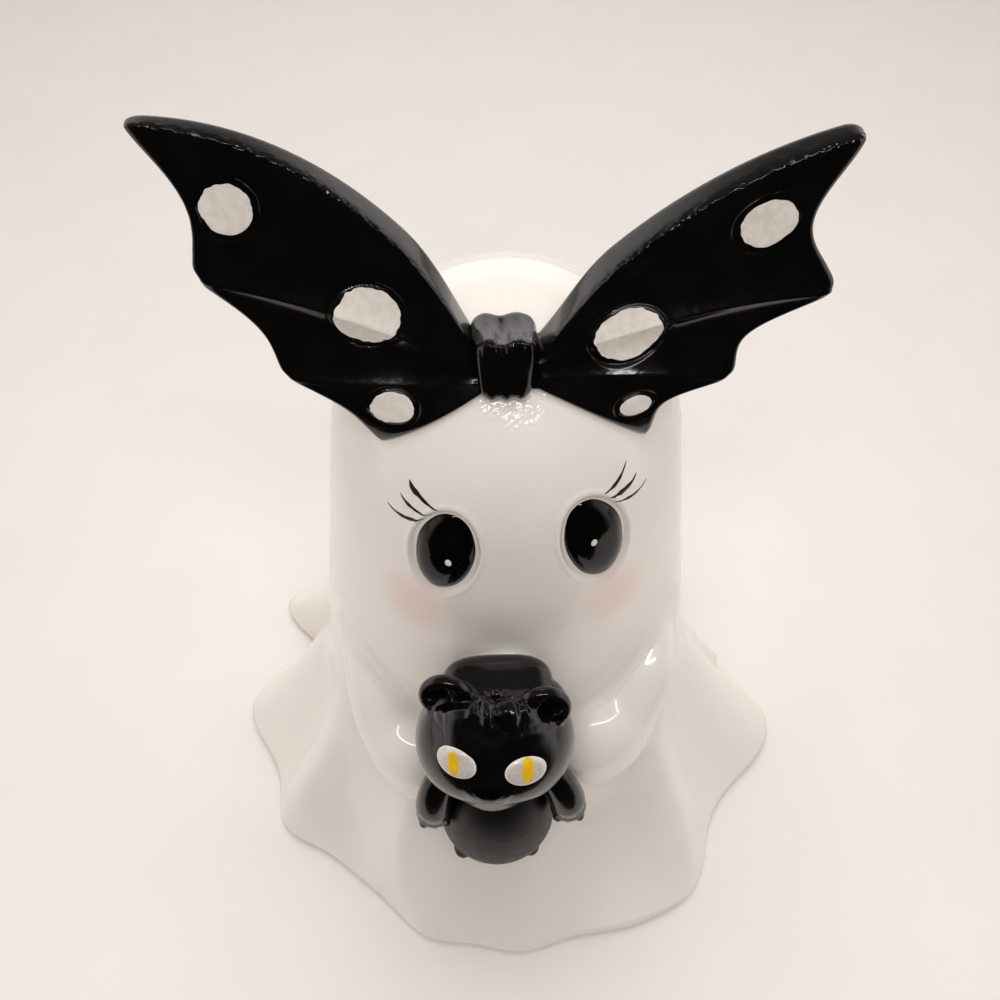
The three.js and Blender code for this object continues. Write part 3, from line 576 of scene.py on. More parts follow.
def together(parts):
    """Several closed forms as one list of points and faces."""
    points, faces, count = [], [], 0
    for part_points, part_faces in parts:
        points.append(part_points)
        faces += [[i + count for i in face] for face in part_faces]
        count += len(part_points)
    return np.vstack(points), faces


def object_of(name, form):
    """A Blender object from points in millimetres and faces, right side out and smooth."""
    points, faces = form
    mesh = bpy.data.meshes.new(name + "_skin")
    mesh.from_pydata(((points + ORIGIN) * MM).tolist(), [], faces)
    made = bpy.data.objects.new(name + "_skin", mesh)
    bpy.context.scene.collection.objects.link(made)
    p = points[np.array([face[:3] for face in faces])]
    if np.einsum("ij,ij->i", p[:, 0], np.cross(p[:, 1], p[:, 2])).sum() < 0:
        mesh.flip_normals()
    mesh.shade_smooth()
    return made


def melted(name, parts, grain, rounds):
    """Closed forms joined into one skin, with the seams between them melted."""
    made = object_of(name, together(parts))
    union = made.modifiers.new("union", "REMESH")
    union.mode = "VOXEL"
    union.voxel_size = grain * MM
    melt = made.modifiers.new("melt", "SMOOTH")
    melt.factor = 0.5
    melt.iterations = rounds
    graph = bpy.context.evaluated_depsgraph_get()
    mesh = bpy.data.meshes.new_from_object(made.evaluated_get(graph))
    made.modifiers.clear()
    made.data = mesh
    mesh.shade_smooth()
    if len(mesh.polygons) < FEWEST_FACES:
        raise RuntimeError(f"{name} came out of the melting empty")
    return made


def wrinkled(made, middle, spread, depth):
    """Wrinkles the paint around a place."""
    _, points, normals, _ = tree_of(made)
    away = np.linalg.norm(points - middle, axis=1) / spread
    rise = depth * (ripples(points, 1.7, 41) + 0.7 * ripples(points, 3.6, 42)) * np.exp(-away ** 2)
    moved = (points + normals * rise[:, None] + ORIGIN) * MM
    made.data.vertices.foreach_set("co", moved.astype(np.float32).ravel())
    made.data.update()


def tree_of(made):
    """The faces of an object in millimetres, for finding the nearest place on it."""
    count = len(made.data.vertices) * 3
    co, normals = np.zeros(count, np.float32), np.zeros(count, np.float32)
    made.data.vertices.foreach_get("co", co)
    made.data.vertex_normals.foreach_get("vector", normals)
    points = co.reshape(-1, 3) / MM - ORIGIN
    faces = [tuple(p.vertices) for p in made.data.polygons]
    return BVHTree.FromPolygons(points.tolist(), faces), points, normals.reshape(-1, 3), faces


def skin_of(name):
    """The skin of a form that another one rests on."""
    if name + "_skin" not in SKINS:
        raise RuntimeError(f"make {name} first: this piece rests on it")
    return SKINS[name + "_skin"]


def dress(made, material, stands_for=()):
    """Gives a piece its finish, and lets it ride on the body of the part."""
    made.data.materials.clear()
    made.data.materials.append(material)
    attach(made, "root")
    if stands_for:
        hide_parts(*stands_for)
    SKINS[made.name] = tree_of(made)
    return made


def distance_to(skin, points):
    """Signed distances of points from a closed form. The side is judged by the normals of the
    nearest corners, which hold at sharp edges too."""
    tree, corners, normals, faces = skin
    found = np.empty(len(points))
    for i, p in enumerate(points):
        place, _, face, distance = tree.find_nearest(p)
        near = list(faces[face])
        weight = 1 / (((corners[near] - place) ** 2).sum(1) + 1e-6)
        found[i] = math.copysign(distance, (p - np.array(place)) @ (weight @ normals[near]))
    return found


def blend_rise(points, normals, distance, reach, most, tuck):
    """How far points move out along their normals, onto the soft joint with a neighbouring form.

    Distance gives how far points stand off the neighbour. Beyond the middle of the joint the skin
    is tucked under the neighbour's own.
    """
    rise = np.zeros(len(points))
    away = distance(points)
    near = away < reach
    for _ in range(BLEND_STEPS):
        if not near.any():
            break
        away = distance(points[near] + normals[near] * rise[near, None])
        own = rise[near]
        joint = np.minimum(own, away) - np.maximum(reach - np.abs(own - away), 0) ** 2 / (4 * reach)
        rise[near] = np.clip(own - joint, 0, most)
    if near.any():
        rise[near] -= tuck * ease(0, 0.8, rise[near] - away)
    return np.maximum(rise, 0) if tuck == 0 else rise


# Materials


def add(tree, kind, inputs=(), **settings):
    """Adds a node with its settings. An input is a value, or the output of another node."""
    made = tree.nodes.new(kind)
    for key, value in settings.items():
        setattr(made, key, value)
    for key, value in dict(inputs).items():
        if isinstance(value, bpy.types.NodeSocket):
            tree.links.new(value, made.inputs[key])
        else:
            made.inputs[key].default_value = value
    return made


def rgba(value):
    """A colour with full opacity."""
    return (*value[:3], 1.0)


def shaded(value, factor):
    """A colour made lighter or darker."""
    return rgba([min(1.0, c * factor) for c in value])


def finish_of(name, base, inputs, bump=None, roughness=None, stretch=None):
    """A material with one Principled shader, from base colour and other inputs built by functions.

    Stretch draws its patterns out along the brush.
    """
    material = bpy.data.materials.new(name)
    material.use_nodes = True
    tree = material.node_tree
    tree.nodes.clear()
    place = add(tree, "ShaderNodeTexCoord").outputs["Object"]
    if stretch:
        place = add(tree, "ShaderNodeMapping", {
            "Vector": place, "Rotation": BRUSH_WAY, "Scale": stretch,
        }).outputs["Vector"]
    sockets = dict(inputs)
    sockets["Base Color"] = base(tree, place)
    if roughness:
        sockets["Roughness"] = roughness(tree, place)
    if bump:
        sockets["Normal"] = bump(tree, place)
    shader = add(tree, "ShaderNodeBsdfPrincipled", sockets)
    add(tree, "ShaderNodeOutputMaterial", {"Surface": shader.outputs["BSDF"]})
    return material


def drift(tree, place, across, low, high, detail=2.0, distortion=0.0):
    """A value that drifts between two others, in patches so many millimetres across."""
    patches = add(tree, "ShaderNodeTexNoise", {
        "Vector": place, "Scale": 1 / (across * MM), "Detail": detail, "Distortion": distortion,
    })
    return add(tree, "ShaderNodeMapRange", {
        "Value": patches.outputs["Fac"], "From Min": 0.25, "From Max": 0.75,
        "To Min": low, "To Max": high,
    }, interpolation_type="SMOOTHERSTEP").outputs["Result"]


def patchy(tree, place, across, dark, light, detail=2.0, distortion=0.0):
    """A colour that drifts between two tones, in patches so many millimetres across."""
    share = drift(tree, place, across, 0, 1, detail, distortion)
    return add(tree, "ShaderNodeMix", {0: share, 6: dark, 7: light}, data_type="RGBA").outputs[2]


def grain(tree, place, across, height, detail=2.0, distortion=0.0, under=None):
    """Bumps so many millimetres across and high, which may lie over another grain."""
    bumps = add(tree, "ShaderNodeTexNoise", {
        "Vector": place, "Scale": 1 / (across * MM), "Detail": detail, "Distortion": distortion,
    })
    inputs = {"Height": bumps.outputs["Fac"], "Distance": height * MM, "Strength": 1.0}
    if under:
        inputs["Normal"] = under
    return add(tree, "ShaderNodeBump", inputs).outputs["Normal"]


def varnished_white(c):
    """White acrylic brushed on cast resin and varnished: a deep gloss over a faintly uneven white,
    with the cheeks sprayed on in pink that fades out softly."""
    def base(tree, place):
        tone = patchy(tree, place, 38, shaded(c.white, 0.965), rgba(c.white))
        for cheek in CHEEKS:
            middle = tuple((np.array(cheek) + ORIGIN) * MM)
            away = add(tree, "ShaderNodeVectorMath", {0: place, 1: middle}, operation="DISTANCE")
            spray = add(tree, "ShaderNodeMapRange", {
                "Value": away.outputs["Value"],
                "From Min": SPRAY_CORE * MM, "From Max": SPRAY_REACH * MM,
                "To Min": SPRAY_STRENGTH, "To Max": 0.0,
            }, interpolation_type="SMOOTHERSTEP").outputs["Result"]
            tones = {0: spray, 6: tone, 7: rgba(c.blush)}
            tone = add(tree, "ShaderNodeMix", tones, data_type="RGBA").outputs[2]
        return tone

    def bump(tree, place):
        peel = grain(tree, place, 2.2, 0.022)
        return grain(tree, place, 14, 0.05, detail=1.0, under=peel)

    def roughness(tree, place):
        return drift(tree, place, 20, 0.3, 0.38)

    return finish_of("varnished_white_acrylic", base, {
        "IOR": 1.5, "Specular IOR Level": 0.5, "Coat Weight": 0.7, "Coat Roughness": 0.06,
    }, bump, roughness)


def black_paint(name, c, low, high, coat):
    """Black enamel brushed on cast resin, with brush marks and small wrinkles that break the
    highlights along the edges. Varnished it is wet and glossy, and without varnish it is satin."""
    def base(tree, place):
        return patchy(tree, place, 9, shaded(c.black, 0.7), shaded(c.black, 1.4))

    def bump(tree, place):
        fine = grain(tree, place, 0.9, 0.026, detail=3.0, distortion=0.6)
        return grain(tree, place, 4.5, 0.06, distortion=0.4, under=fine)

    def roughness(tree, place):
        return drift(tree, place, 3, low, high)

    return finish_of(name, base, {
        "IOR": 1.45, "Coat Weight": coat, "Coat Roughness": 0.06,
    }, bump, roughness)


def eye_lacquer(c):
    """Black lacquer flooded over the domes: a near mirror with the slightest waviness."""
    def base(tree, place):
        return patchy(tree, place, 6, rgba(c.eye), shaded(c.eye, 2.0))

    def bump(tree, place):
        return grain(tree, place, 5, 0.05, detail=1.5, distortion=0.5)

    return finish_of("flooded_black_lacquer", base, {"Roughness": 0.06, "IOR": 1.34}, bump)


def hand_paint(name, tint, rough, streak=1.1):
    """Thick paint laid on with a small brush: satin, with streaks and a slightly patchy tone."""
    def base(tree, place):
        return patchy(tree, place, streak * 2, shaded(tint, 0.9), shaded(tint, 1.03), detail=3.0)

    def bump(tree, place):
        return grain(tree, place, streak, 0.05, detail=3.0)

    return finish_of(name, base, {"Roughness": rough, "IOR": 1.48}, bump, stretch=STREAK_STRETCH)


def pearl_paint(c):
    """Pearl acrylic over silver: fine mica flakes, drawn 0.35 mm wide so that they show, sparkle in
    a satin grey."""
    def base(tree, place):
        flakes = add(tree, "ShaderNodeTexVoronoi", {"Vector": place, "Scale": 1 / (0.35 * MM)})
        grey = add(tree, "ShaderNodeRGBToBW", {"Color": flakes.outputs["Color"]}).outputs["Val"]
        share = add(tree, "ShaderNodeMapRange", {
            "Value": grey, "From Min": 0.2, "From Max": 0.8,
        }, interpolation_type="SMOOTHERSTEP").outputs["Result"]
        tones = {0: share, 6: shaded(c.pearl, 0.88), 7: shaded(c.pearl, 1.05)}
        return add(tree, "ShaderNodeMix", tones, data_type="RGBA").outputs[2]

    def bump(tree, place):
        return grain(tree, place, 0.5, 0.015)

    return finish_of("pearl_mica_acrylic", base, {
        "Roughness": 0.28, "Metallic": 0.15, "Coat Weight": 0.4,
    }, bump)


def bare_resin(c):
    """Poured polyresin left bare: chalky and matt, with pinholes and faint pour marks."""
    def base(tree, place):
        return patchy(tree, place, 12, shaded(c.resin, 0.9), rgba(c.resin), detail=4.0)

    def bump(tree, place):
        return grain(tree, place, 0.8, 0.06, detail=4.0)

    return finish_of("poured_polyresin", base, {"Roughness": 0.7}, bump)


def pressed_felt(c):
    """Pressed wool felt: matted fibres, drawn thicker than the real 0.02 mm so that they show."""
    def base(tree, place):
        dark, light = shaded(c.felt, 0.78), rgba(c.felt)
        return patchy(tree, place, 1.3, dark, light, detail=5.0, distortion=2.5)

    def bump(tree, place):
        return grain(tree, place, 1.3, 0.25, detail=5.0, distortion=2.5)

    return finish_of("pressed_wool_felt", base, {"Roughness": 0.95, "Sheen Weight": 0.3}, bump)


def paper(c):
    """Seamless background paper: matt and even, its tooth too fine to show but as softness."""
    def base(tree, place):
        return patchy(tree, place, 60, shaded(c.floor, 0.985), rgba(c.floor))

    return finish_of("seamless_paper", base, {"Roughness": 0.8, "Specular IOR Level": 0.25})


FINISHES = {
    "white": varnished_white,
    "black": lambda c: black_paint("brushed_black_enamel", c, low=0.14, high=0.22, coat=0.3),
    "satin": lambda c: black_paint("brushed_satin_black", c, low=0.42, high=0.5, coat=0.0),
    "eye": eye_lacquer,
    "lash": lambda c: hand_paint("inked_brown_black", c.lash, rough=0.35, streak=0.5),
    "dot": lambda c: hand_paint("brushed_warm_white", c.dot, rough=0.42),
    "pearl": pearl_paint,
    "yellow": lambda c: hand_paint("brushed_yellow_acrylic", c.yellow, rough=0.4, streak=0.6),
    "resin": bare_resin,
    "felt": pressed_felt,
    "paper": paper,
}


def finish(name):
    """The material of a finish, made the first time it is asked for."""
    kept = bpy.context.scene.get("finish_" + name)
    if kept is None:
        kept = FINISHES[name](bpy.context.scene.figurine_colours)
        bpy.context.scene["finish_" + name] = kept
    return kept


# Painted marks


def frame_at(outward, roll=0.0):
    """Axes across, up and out on a surface, turned about the last by a roll in degrees."""
    z = unit(np.asarray(outward, float))
    x = unit(np.cross([0, 0, 1.0], z))
    y = np.cross(z, x)
    turn = math.radians(roll)
    return x * math.cos(turn) + y * math.sin(turn), y * math.cos(turn) - x * math.sin(turn), z


def cast(skin, start, way):
    """The first place on a form that a ray from a point meets, and the normal there."""
    place, normal, _, _ = skin[0].ray_cast(Vector(start), Vector(way))
    if place is None:
        raise RuntimeError("a painted mark lies beside the form that carries it")
    return np.array(place), np.array(normal)


def patch(name, skin, middle, axes, outline, proud, sink, depth=0.5, rings=9):
    """A thin closed cap of paint or lacquer that lies on a form.

    Outline holds its edge as places across and up. It is proud in its middle, and its edge sinks
    into the form.
    """
    x, y, z = axes
    front, back = [], []
    shares = np.sin(np.linspace(0.06, 1, rings) * np.pi / 2)
    for share in shares:
        row = []
        for across, up in outline:
            start = middle + x * across * share + y * up * share + z * 15
            row.append(cast(skin, start, -z)[0])
        row = np.array(row)
        front.append(row + z * (proud - (proud + sink) * share ** 8))
        back.append(row - z * depth)
    return object_of(name, loft(np.array(front + back[::-1])))


def oval(wide, tall, sides=56, uneven=0.0, seed=0, turn=0.0):
    """The outline of an oval, as uneven as a brush leaves it."""
    angle = np.linspace(0, 2 * np.pi, sides, endpoint=False)
    ring = np.stack([np.cos(angle), np.sin(angle), 0 * angle], -1)
    swell = 1 + uneven * (ripples(ring, 1.1, seed) + 0.7 * ripples(ring, 0.35, seed + 50))
    swell = np.minimum(swell, 1 + 0.5 * uneven)
    flat = np.stack([wide * np.cos(angle), tall * np.sin(angle)], -1) * swell[:, None]
    r = math.radians(turn)
    return flat @ np.array([[math.cos(r), math.sin(r)], [-math.sin(r), math.cos(r)]])


def stroke(name, skin, knots, outwards, half_width, fullest, proud, steps=44):
    """One brush stroke along a curve on a form, thin at both ends and fullest on its way."""
    shares = np.linspace(0, 1, steps)
    path = spline(knots, shares)
    ways = unit(spline(outwards, shares))
    rows = []
    placed = [cast(skin, p + w * 8, -w) for p, w in zip(path, ways)]
    path = np.array([p for p, _ in placed])
    ways = np.array([n for _, n in placed])
    side = unit(np.cross(ways, np.gradient(path, axis=0)))
    for share, point, way, across in zip(shares, path, ways, side):
        spread = fullest if share < fullest else 1 - fullest
        width = half_width * (0.3 + 0.7 * math.exp(-(((share - fullest) / spread / 0.6) ** 2)))
        ends = math.sqrt(max(0.02, 1 - abs(2 * share - 1) ** 8))
        width *= ends * (1 + 0.1 * math.sin(share * 23))
        profile = [(-1, -0.4), (-0.6, 0.7), (0, 1), (0.6, 0.7), (1, -0.4), (0, -2.5)]
        rows.append([point + across * width * a + way * proud * b for a, b in profile])
    return object_of(name, loft(np.array(rows)))


# Operators


class FIGURINE_OT_arms(bpy.types.Operator):
    """Sleeve-like arms that swing forwards from the shoulders and melt into the body"""

    bl_idname = "figurine.arms"
    bl_label = "Arms"

    def execute(self, context):
        sizes = context.scene.figurine_sizes
        reach = sizes.arm_melt / MM
        for name, stations in ARMS.items():
            table = np.array(stations, float)
            points, outward = on_body(table[:, 0], table[:, 1])
            knots = np.hstack([points + outward * table[:, 2:3], table])
            bend = np.radians(np.append(np.zeros(ARM_ROWS), np.linspace(0, 89, END_ROWS)))
            run = np.append(np.linspace(0, 1, ARM_ROWS + 1)[:-1], np.ones(END_ROWS))
            shares = run * (1 - ARM_END) + ARM_END * np.sin(bend)
            rows = spline(knots, shares)
            step = 1e-3
            along = unit((spline(knots, shares + step) - spline(knots, shares - step))[:, :3])
            _, outward = on_body(rows[:, 3], rows[:, 4])
            upward = unit(np.cross(outward, along))
            out = unit(np.cross(along, upward))
            turn = np.linspace(0, 2 * np.pi, ARM_SIDES, endpoint=False)[None, :, None]
            root = np.sqrt(1 - (1 - np.minimum(1, shares / ARM_ROOT + 0.02)) ** 2)
            tall = (rows[:, 6] * np.cos(bend) * root)[:, None, None]
            deep = (rows[:, 7] * np.cos(bend) * root)[:, None, None]
            spoke = out[:, None] * deep * np.cos(turn) + upward[:, None] * tall * np.sin(turn)
            rings = rows[:, None, :3] + spoke
            normals = out[:, None] * tall * np.cos(turn) + upward[:, None] * deep * np.sin(turn)
            flat, ways = rings.reshape(-1, 3), unit(normals).reshape(-1, 3)
            stand = off_body(flat)
            outside = stand > ARM_BURIED
            rise = np.zeros(len(flat))
            rise[outside] = blend_rise(
                flat[outside], ways[outside], off_body, reach, reach * 0.6, ARM_TUCK,
            )
            rise += 0.5 * sizes.wobble / MM * ripples(flat, 17, 4) * (stand > 0)
            made = object_of(name, loft((flat + ways * rise[:, None]).reshape(rings.shape)))
            dress(made, finish("white"), [name])
        return {"FINISHED"}


def head_way(turn, lift):
    """The direction from the middle of the cat's head, turned sideways and lifted, in degrees."""
    return around(turn, math.cos(math.radians(lift)), math.sin(math.radians(lift)))


def on_head(turn, lift):
    """The place on the cat's head in a direction, and the way out of it there."""
    way = head_way(turn, lift)
    return HEAD_MIDDLE + way * HEAD_HALF, unit(way / HEAD_HALF)


def shape_head(points, ways):
    """Gives the cat's head its flat crown, its pointed chin and the tuck of its cheeks."""
    chin = head_way(HEAD_TURN, CHIN_DROP)
    away = np.degrees(np.arccos(np.clip(ways @ chin, -1, 1)))[:, None] / CHIN_SPREAD
    tuck = np.exp(-((away - 2.2) ** 2)) * np.maximum(0, 0.5 - ways[:, 2:3])
    points = points + chin * CHIN_PROUD * np.exp(-away ** 2) - ways * 1.2 * tuck
    over = np.maximum(0, points[:, 2] - CROWN_FLAT)
    points[:, 2] -= over * 0.8
    return points


def shape_block(points, ways):
    """Squares a round form off into a soft block."""
    return points / ((np.abs(ways) ** BLOCK_SQUARE).sum(-1, keepdims=True) ** (1 / BLOCK_SQUARE))


def shape_loaf(points, ways):
    """Squares a round form off along its second axis, like a loaf."""
    across = (np.abs(ways[:, [0, 2]]) ** 2.4).sum(-1) ** (6 / 2.4)
    return points / ((across + np.abs(ways[:, 1]) ** 6) ** (1 / 6))[:, None]


def leaning(degrees):
    """Axes of a form that leans back."""
    lean = math.radians(degrees)
    cos, sin = math.cos(lean), math.sin(lean)
    return np.array([[1, 0, 0], [0, cos, sin], [0, -sin, cos]])


def lump(turn, lift, half, sink, roll):
    """A low swelling on the cat's head."""
    point, outward = on_head(turn, lift)
    return ball(point - outward * sink, half, axes=frame_at(outward, roll), sides=40)


def ear(turn, lift):
    """A cupped ear: a thick rim around a hollow that looks forwards, with a few hairs in it."""
    point, _ = on_head(turn, lift)
    side = 1 if turn > 0 else -1
    x, y, z = frame_at(head_way(HEAD_TURN + side * 6, 15), -side * 8)
    sweep = np.radians(np.linspace(176, 62, 26))
    angle = np.linspace(0, 2 * np.pi, 72, endpoint=False)[:, None]
    rings = []
    for (across, up, deep, ahead), bends in ((EAR_RIM, sweep), (EAR_HOLLOW, sweep[::-1])):
        for bend in bends:
            wide, tall = x * across * np.sin(bend), y * up * np.sin(bend)
            level = wide * np.cos(angle) + tall * np.sin(angle)
            rings.append(point + level + z * (deep * np.cos(bend) + ahead))
    parts = [loft(np.array(rings))]
    for fan in EAR_HAIRS:
        way = math.radians(90 + side * (90 - fan))
        root = point - x * side * 4.5 - y * 1.5 + z * 1.2
        tip = point + (x * math.cos(way) + y * math.sin(way)) * 6.0 + z * 0.8
        parts.append(rod([root, (root + tip) / 2 + y * 0.6 + z * 0.5, tip], [0.8, 0.8, 0.4]))
    return parts


class FIGURINE_OT_cat(bpy.types.Operator):
    """The cat: head with ears, brows and tuft, sitting body with feet, and forelegs with toes"""

    bl_idname = "figurine.cat"
    bl_label = "Cat"

    def execute(self, context):
        sizes = context.scene.figurine_sizes
        voxel = sizes.voxel / MM
        self.head(voxel, sizes.wrinkle / MM)
        self.torso(voxel * TORSO_GRAIN)
        for name, points in FORELEGS.items():
            self.foreleg(name, points, voxel)
        return {"FINISHED"}

    def head(self, voxel, wrinkle):
        """Head, crown, ears, brows, muzzle and the tuft on the forehead, melted into one skin."""
        parts = [ball(HEAD_MIDDLE, HEAD_HALF, shape_head, sides=120)]
        place, half = CROWN_BLOCK
        parts.append(ball(HEAD_MIDDLE + place, half, shape_block, leaning(CROWN_LEAN), sides=96))
        for place, half in SHOULDERS:
            parts.append(ball(HEAD_MIDDLE + place, half))
        for turn, lift in EARS:
            parts += ear(turn, lift)
        for swelling in SWELLINGS:
            parts.append(lump(*swelling))
        slope = leaning(FOREHEAD_LEAN)
        place, half = FOREHEAD
        parts.append(ball(HEAD_MIDDLE + place @ slope, half, shape_loaf, slope, sides=96))
        for root, tip, low, thick in LOCKS:
            knots = np.array([(root, 13.4, 17.5), ((root + tip) / 2, 11.2, 22.2), (tip, low, 22.2)])
            knots[:, 2] -= (knots[:, 0] + 1) ** 2 / 60
            parts.append(rod(HEAD_MIDDLE + knots @ slope, [0.6, thick, thick * 0.9, 0.5]))
        for place, thick in CRUMBS:
            parts.append(ball(HEAD_MIDDLE + place @ slope, (thick, thick, thick), sides=24))
        made = melted("cat_head", parts, voxel, rounds=4)
        wrinkled(made, HEAD_MIDDLE + TUFT @ slope, TUFT_SPREAD, wrinkle)
        dress(made, finish("black"), ["cat_head"])

    def torso(self, voxel):
        """The sitting body, drawn up into a neck under the head, with two feet."""
        def neck(points, ways):
            points[:, 2] = np.where(points[:, 2] > 0, points[:, 2] * NECK_STRETCH, points[:, 2])
            return points

        parts = [ball(TORSO_MIDDLE, TORSO_HALF, neck, sides=96)]
        for foot in FEET:
            parts.append(ball(TORSO_MIDDLE + foot, FOOT_HALF, sides=32))
        made = melted("cat_torso", parts, voxel, rounds=6)
        dress(made, finish("satin"), ["cat_torso"])

    def foreleg(self, name, points, voxel):
        """A leg that swells to a round paw with three toes."""
        knots = HEAD_MIDDLE + np.array(points, float)
        parts = [rod(knots, LEG_RADII, sides=40, steps=40)]
        paw = knots[-1] - (0, 0, 0.4)
        parts.append(ball(paw, PAW_HALF, sides=40))
        for across in TOES:
            toe = paw + (across, -3.0, -2.7 + abs(across) * 0.25)
            parts.append(ball(toe, TOE_HALF, sides=24))
        made = melted(name, parts, voxel, rounds=3)
        dress(made, finish("black"), [name])


class FIGURINE_OT_cat_face(bpy.types.Operator):
    """The cat's pearl eyes with yellow slits, and its nose"""

    bl_idname = "figurine.cat_face"
    bl_label = "Cat's face"

    def execute(self, context):
        paint = context.scene.figurine_sizes.paint / MM
        head = skin_of("cat_head")
        for name, (turn, lift, roll, slit) in CAT_EYES.items():
            point, outward = on_head(turn, lift)
            axes = frame_at(outward, roll)
            edge = oval(CAT_EYE_WIDE, CAT_EYE_TALL, sides=72, uneven=0.004, seed=7)
            eye = patch(name, head, point, axes, edge, proud=0.75, sink=0.35, depth=1.6, rings=14)
            dress(eye, finish("dot"), [name])
            pearl = patch(
                name + "_pearl", skin_of(name), point, axes, edge * PEARL_SHARE,
                proud=paint * 0.5, sink=0.02, depth=0.3,
            )
            dress(pearl, finish("pearl"))
            self.slit(name, slit, paint)
        point, outward = on_head(*NOSE_PLACE)
        angle = np.linspace(0, 2 * np.pi, 60, endpoint=False)
        pinch = 1 + 0.16 * np.cos(3 * (angle + np.pi / 2))
        edge = np.stack([np.cos(angle) * pinch, np.sin(angle) * pinch], -1) * NOSE_HALF
        axes = frame_at(outward)
        nose = patch("cat_nose", head, point, axes, edge, proud=0.15, sink=0.1, depth=0.6)
        dress(nose, finish("eye"))
        return {"FINISHED"}

    def slit(self, name, ends, paint):
        """A yellow slit with full ends, painted on the eye."""
        (top, over), (bottom, under) = (on_head(*place) for place in ends)
        z = unit(over + under)
        up = top - bottom - z * ((top - bottom) @ z)
        axes = np.cross(unit(up), z), unit(up), z
        tall = np.linalg.norm(up) * SLIT_SHARE
        edge = oval(SLIT_HALF_WIDTH, tall, sides=60, uneven=0.01, seed=11)
        edge[:, 0] /= (1 - 0.85 * (edge[:, 1] / np.abs(edge[:, 1]).max()) ** 2) ** 0.22
        middle = (top + bottom) / 2
        mark = patch(
            name + "_slit", skin_of(name), middle, axes, edge,
            proud=paint * 1.2, sink=0.05, depth=0.4,
        )
        dress(mark, finish("yellow"))


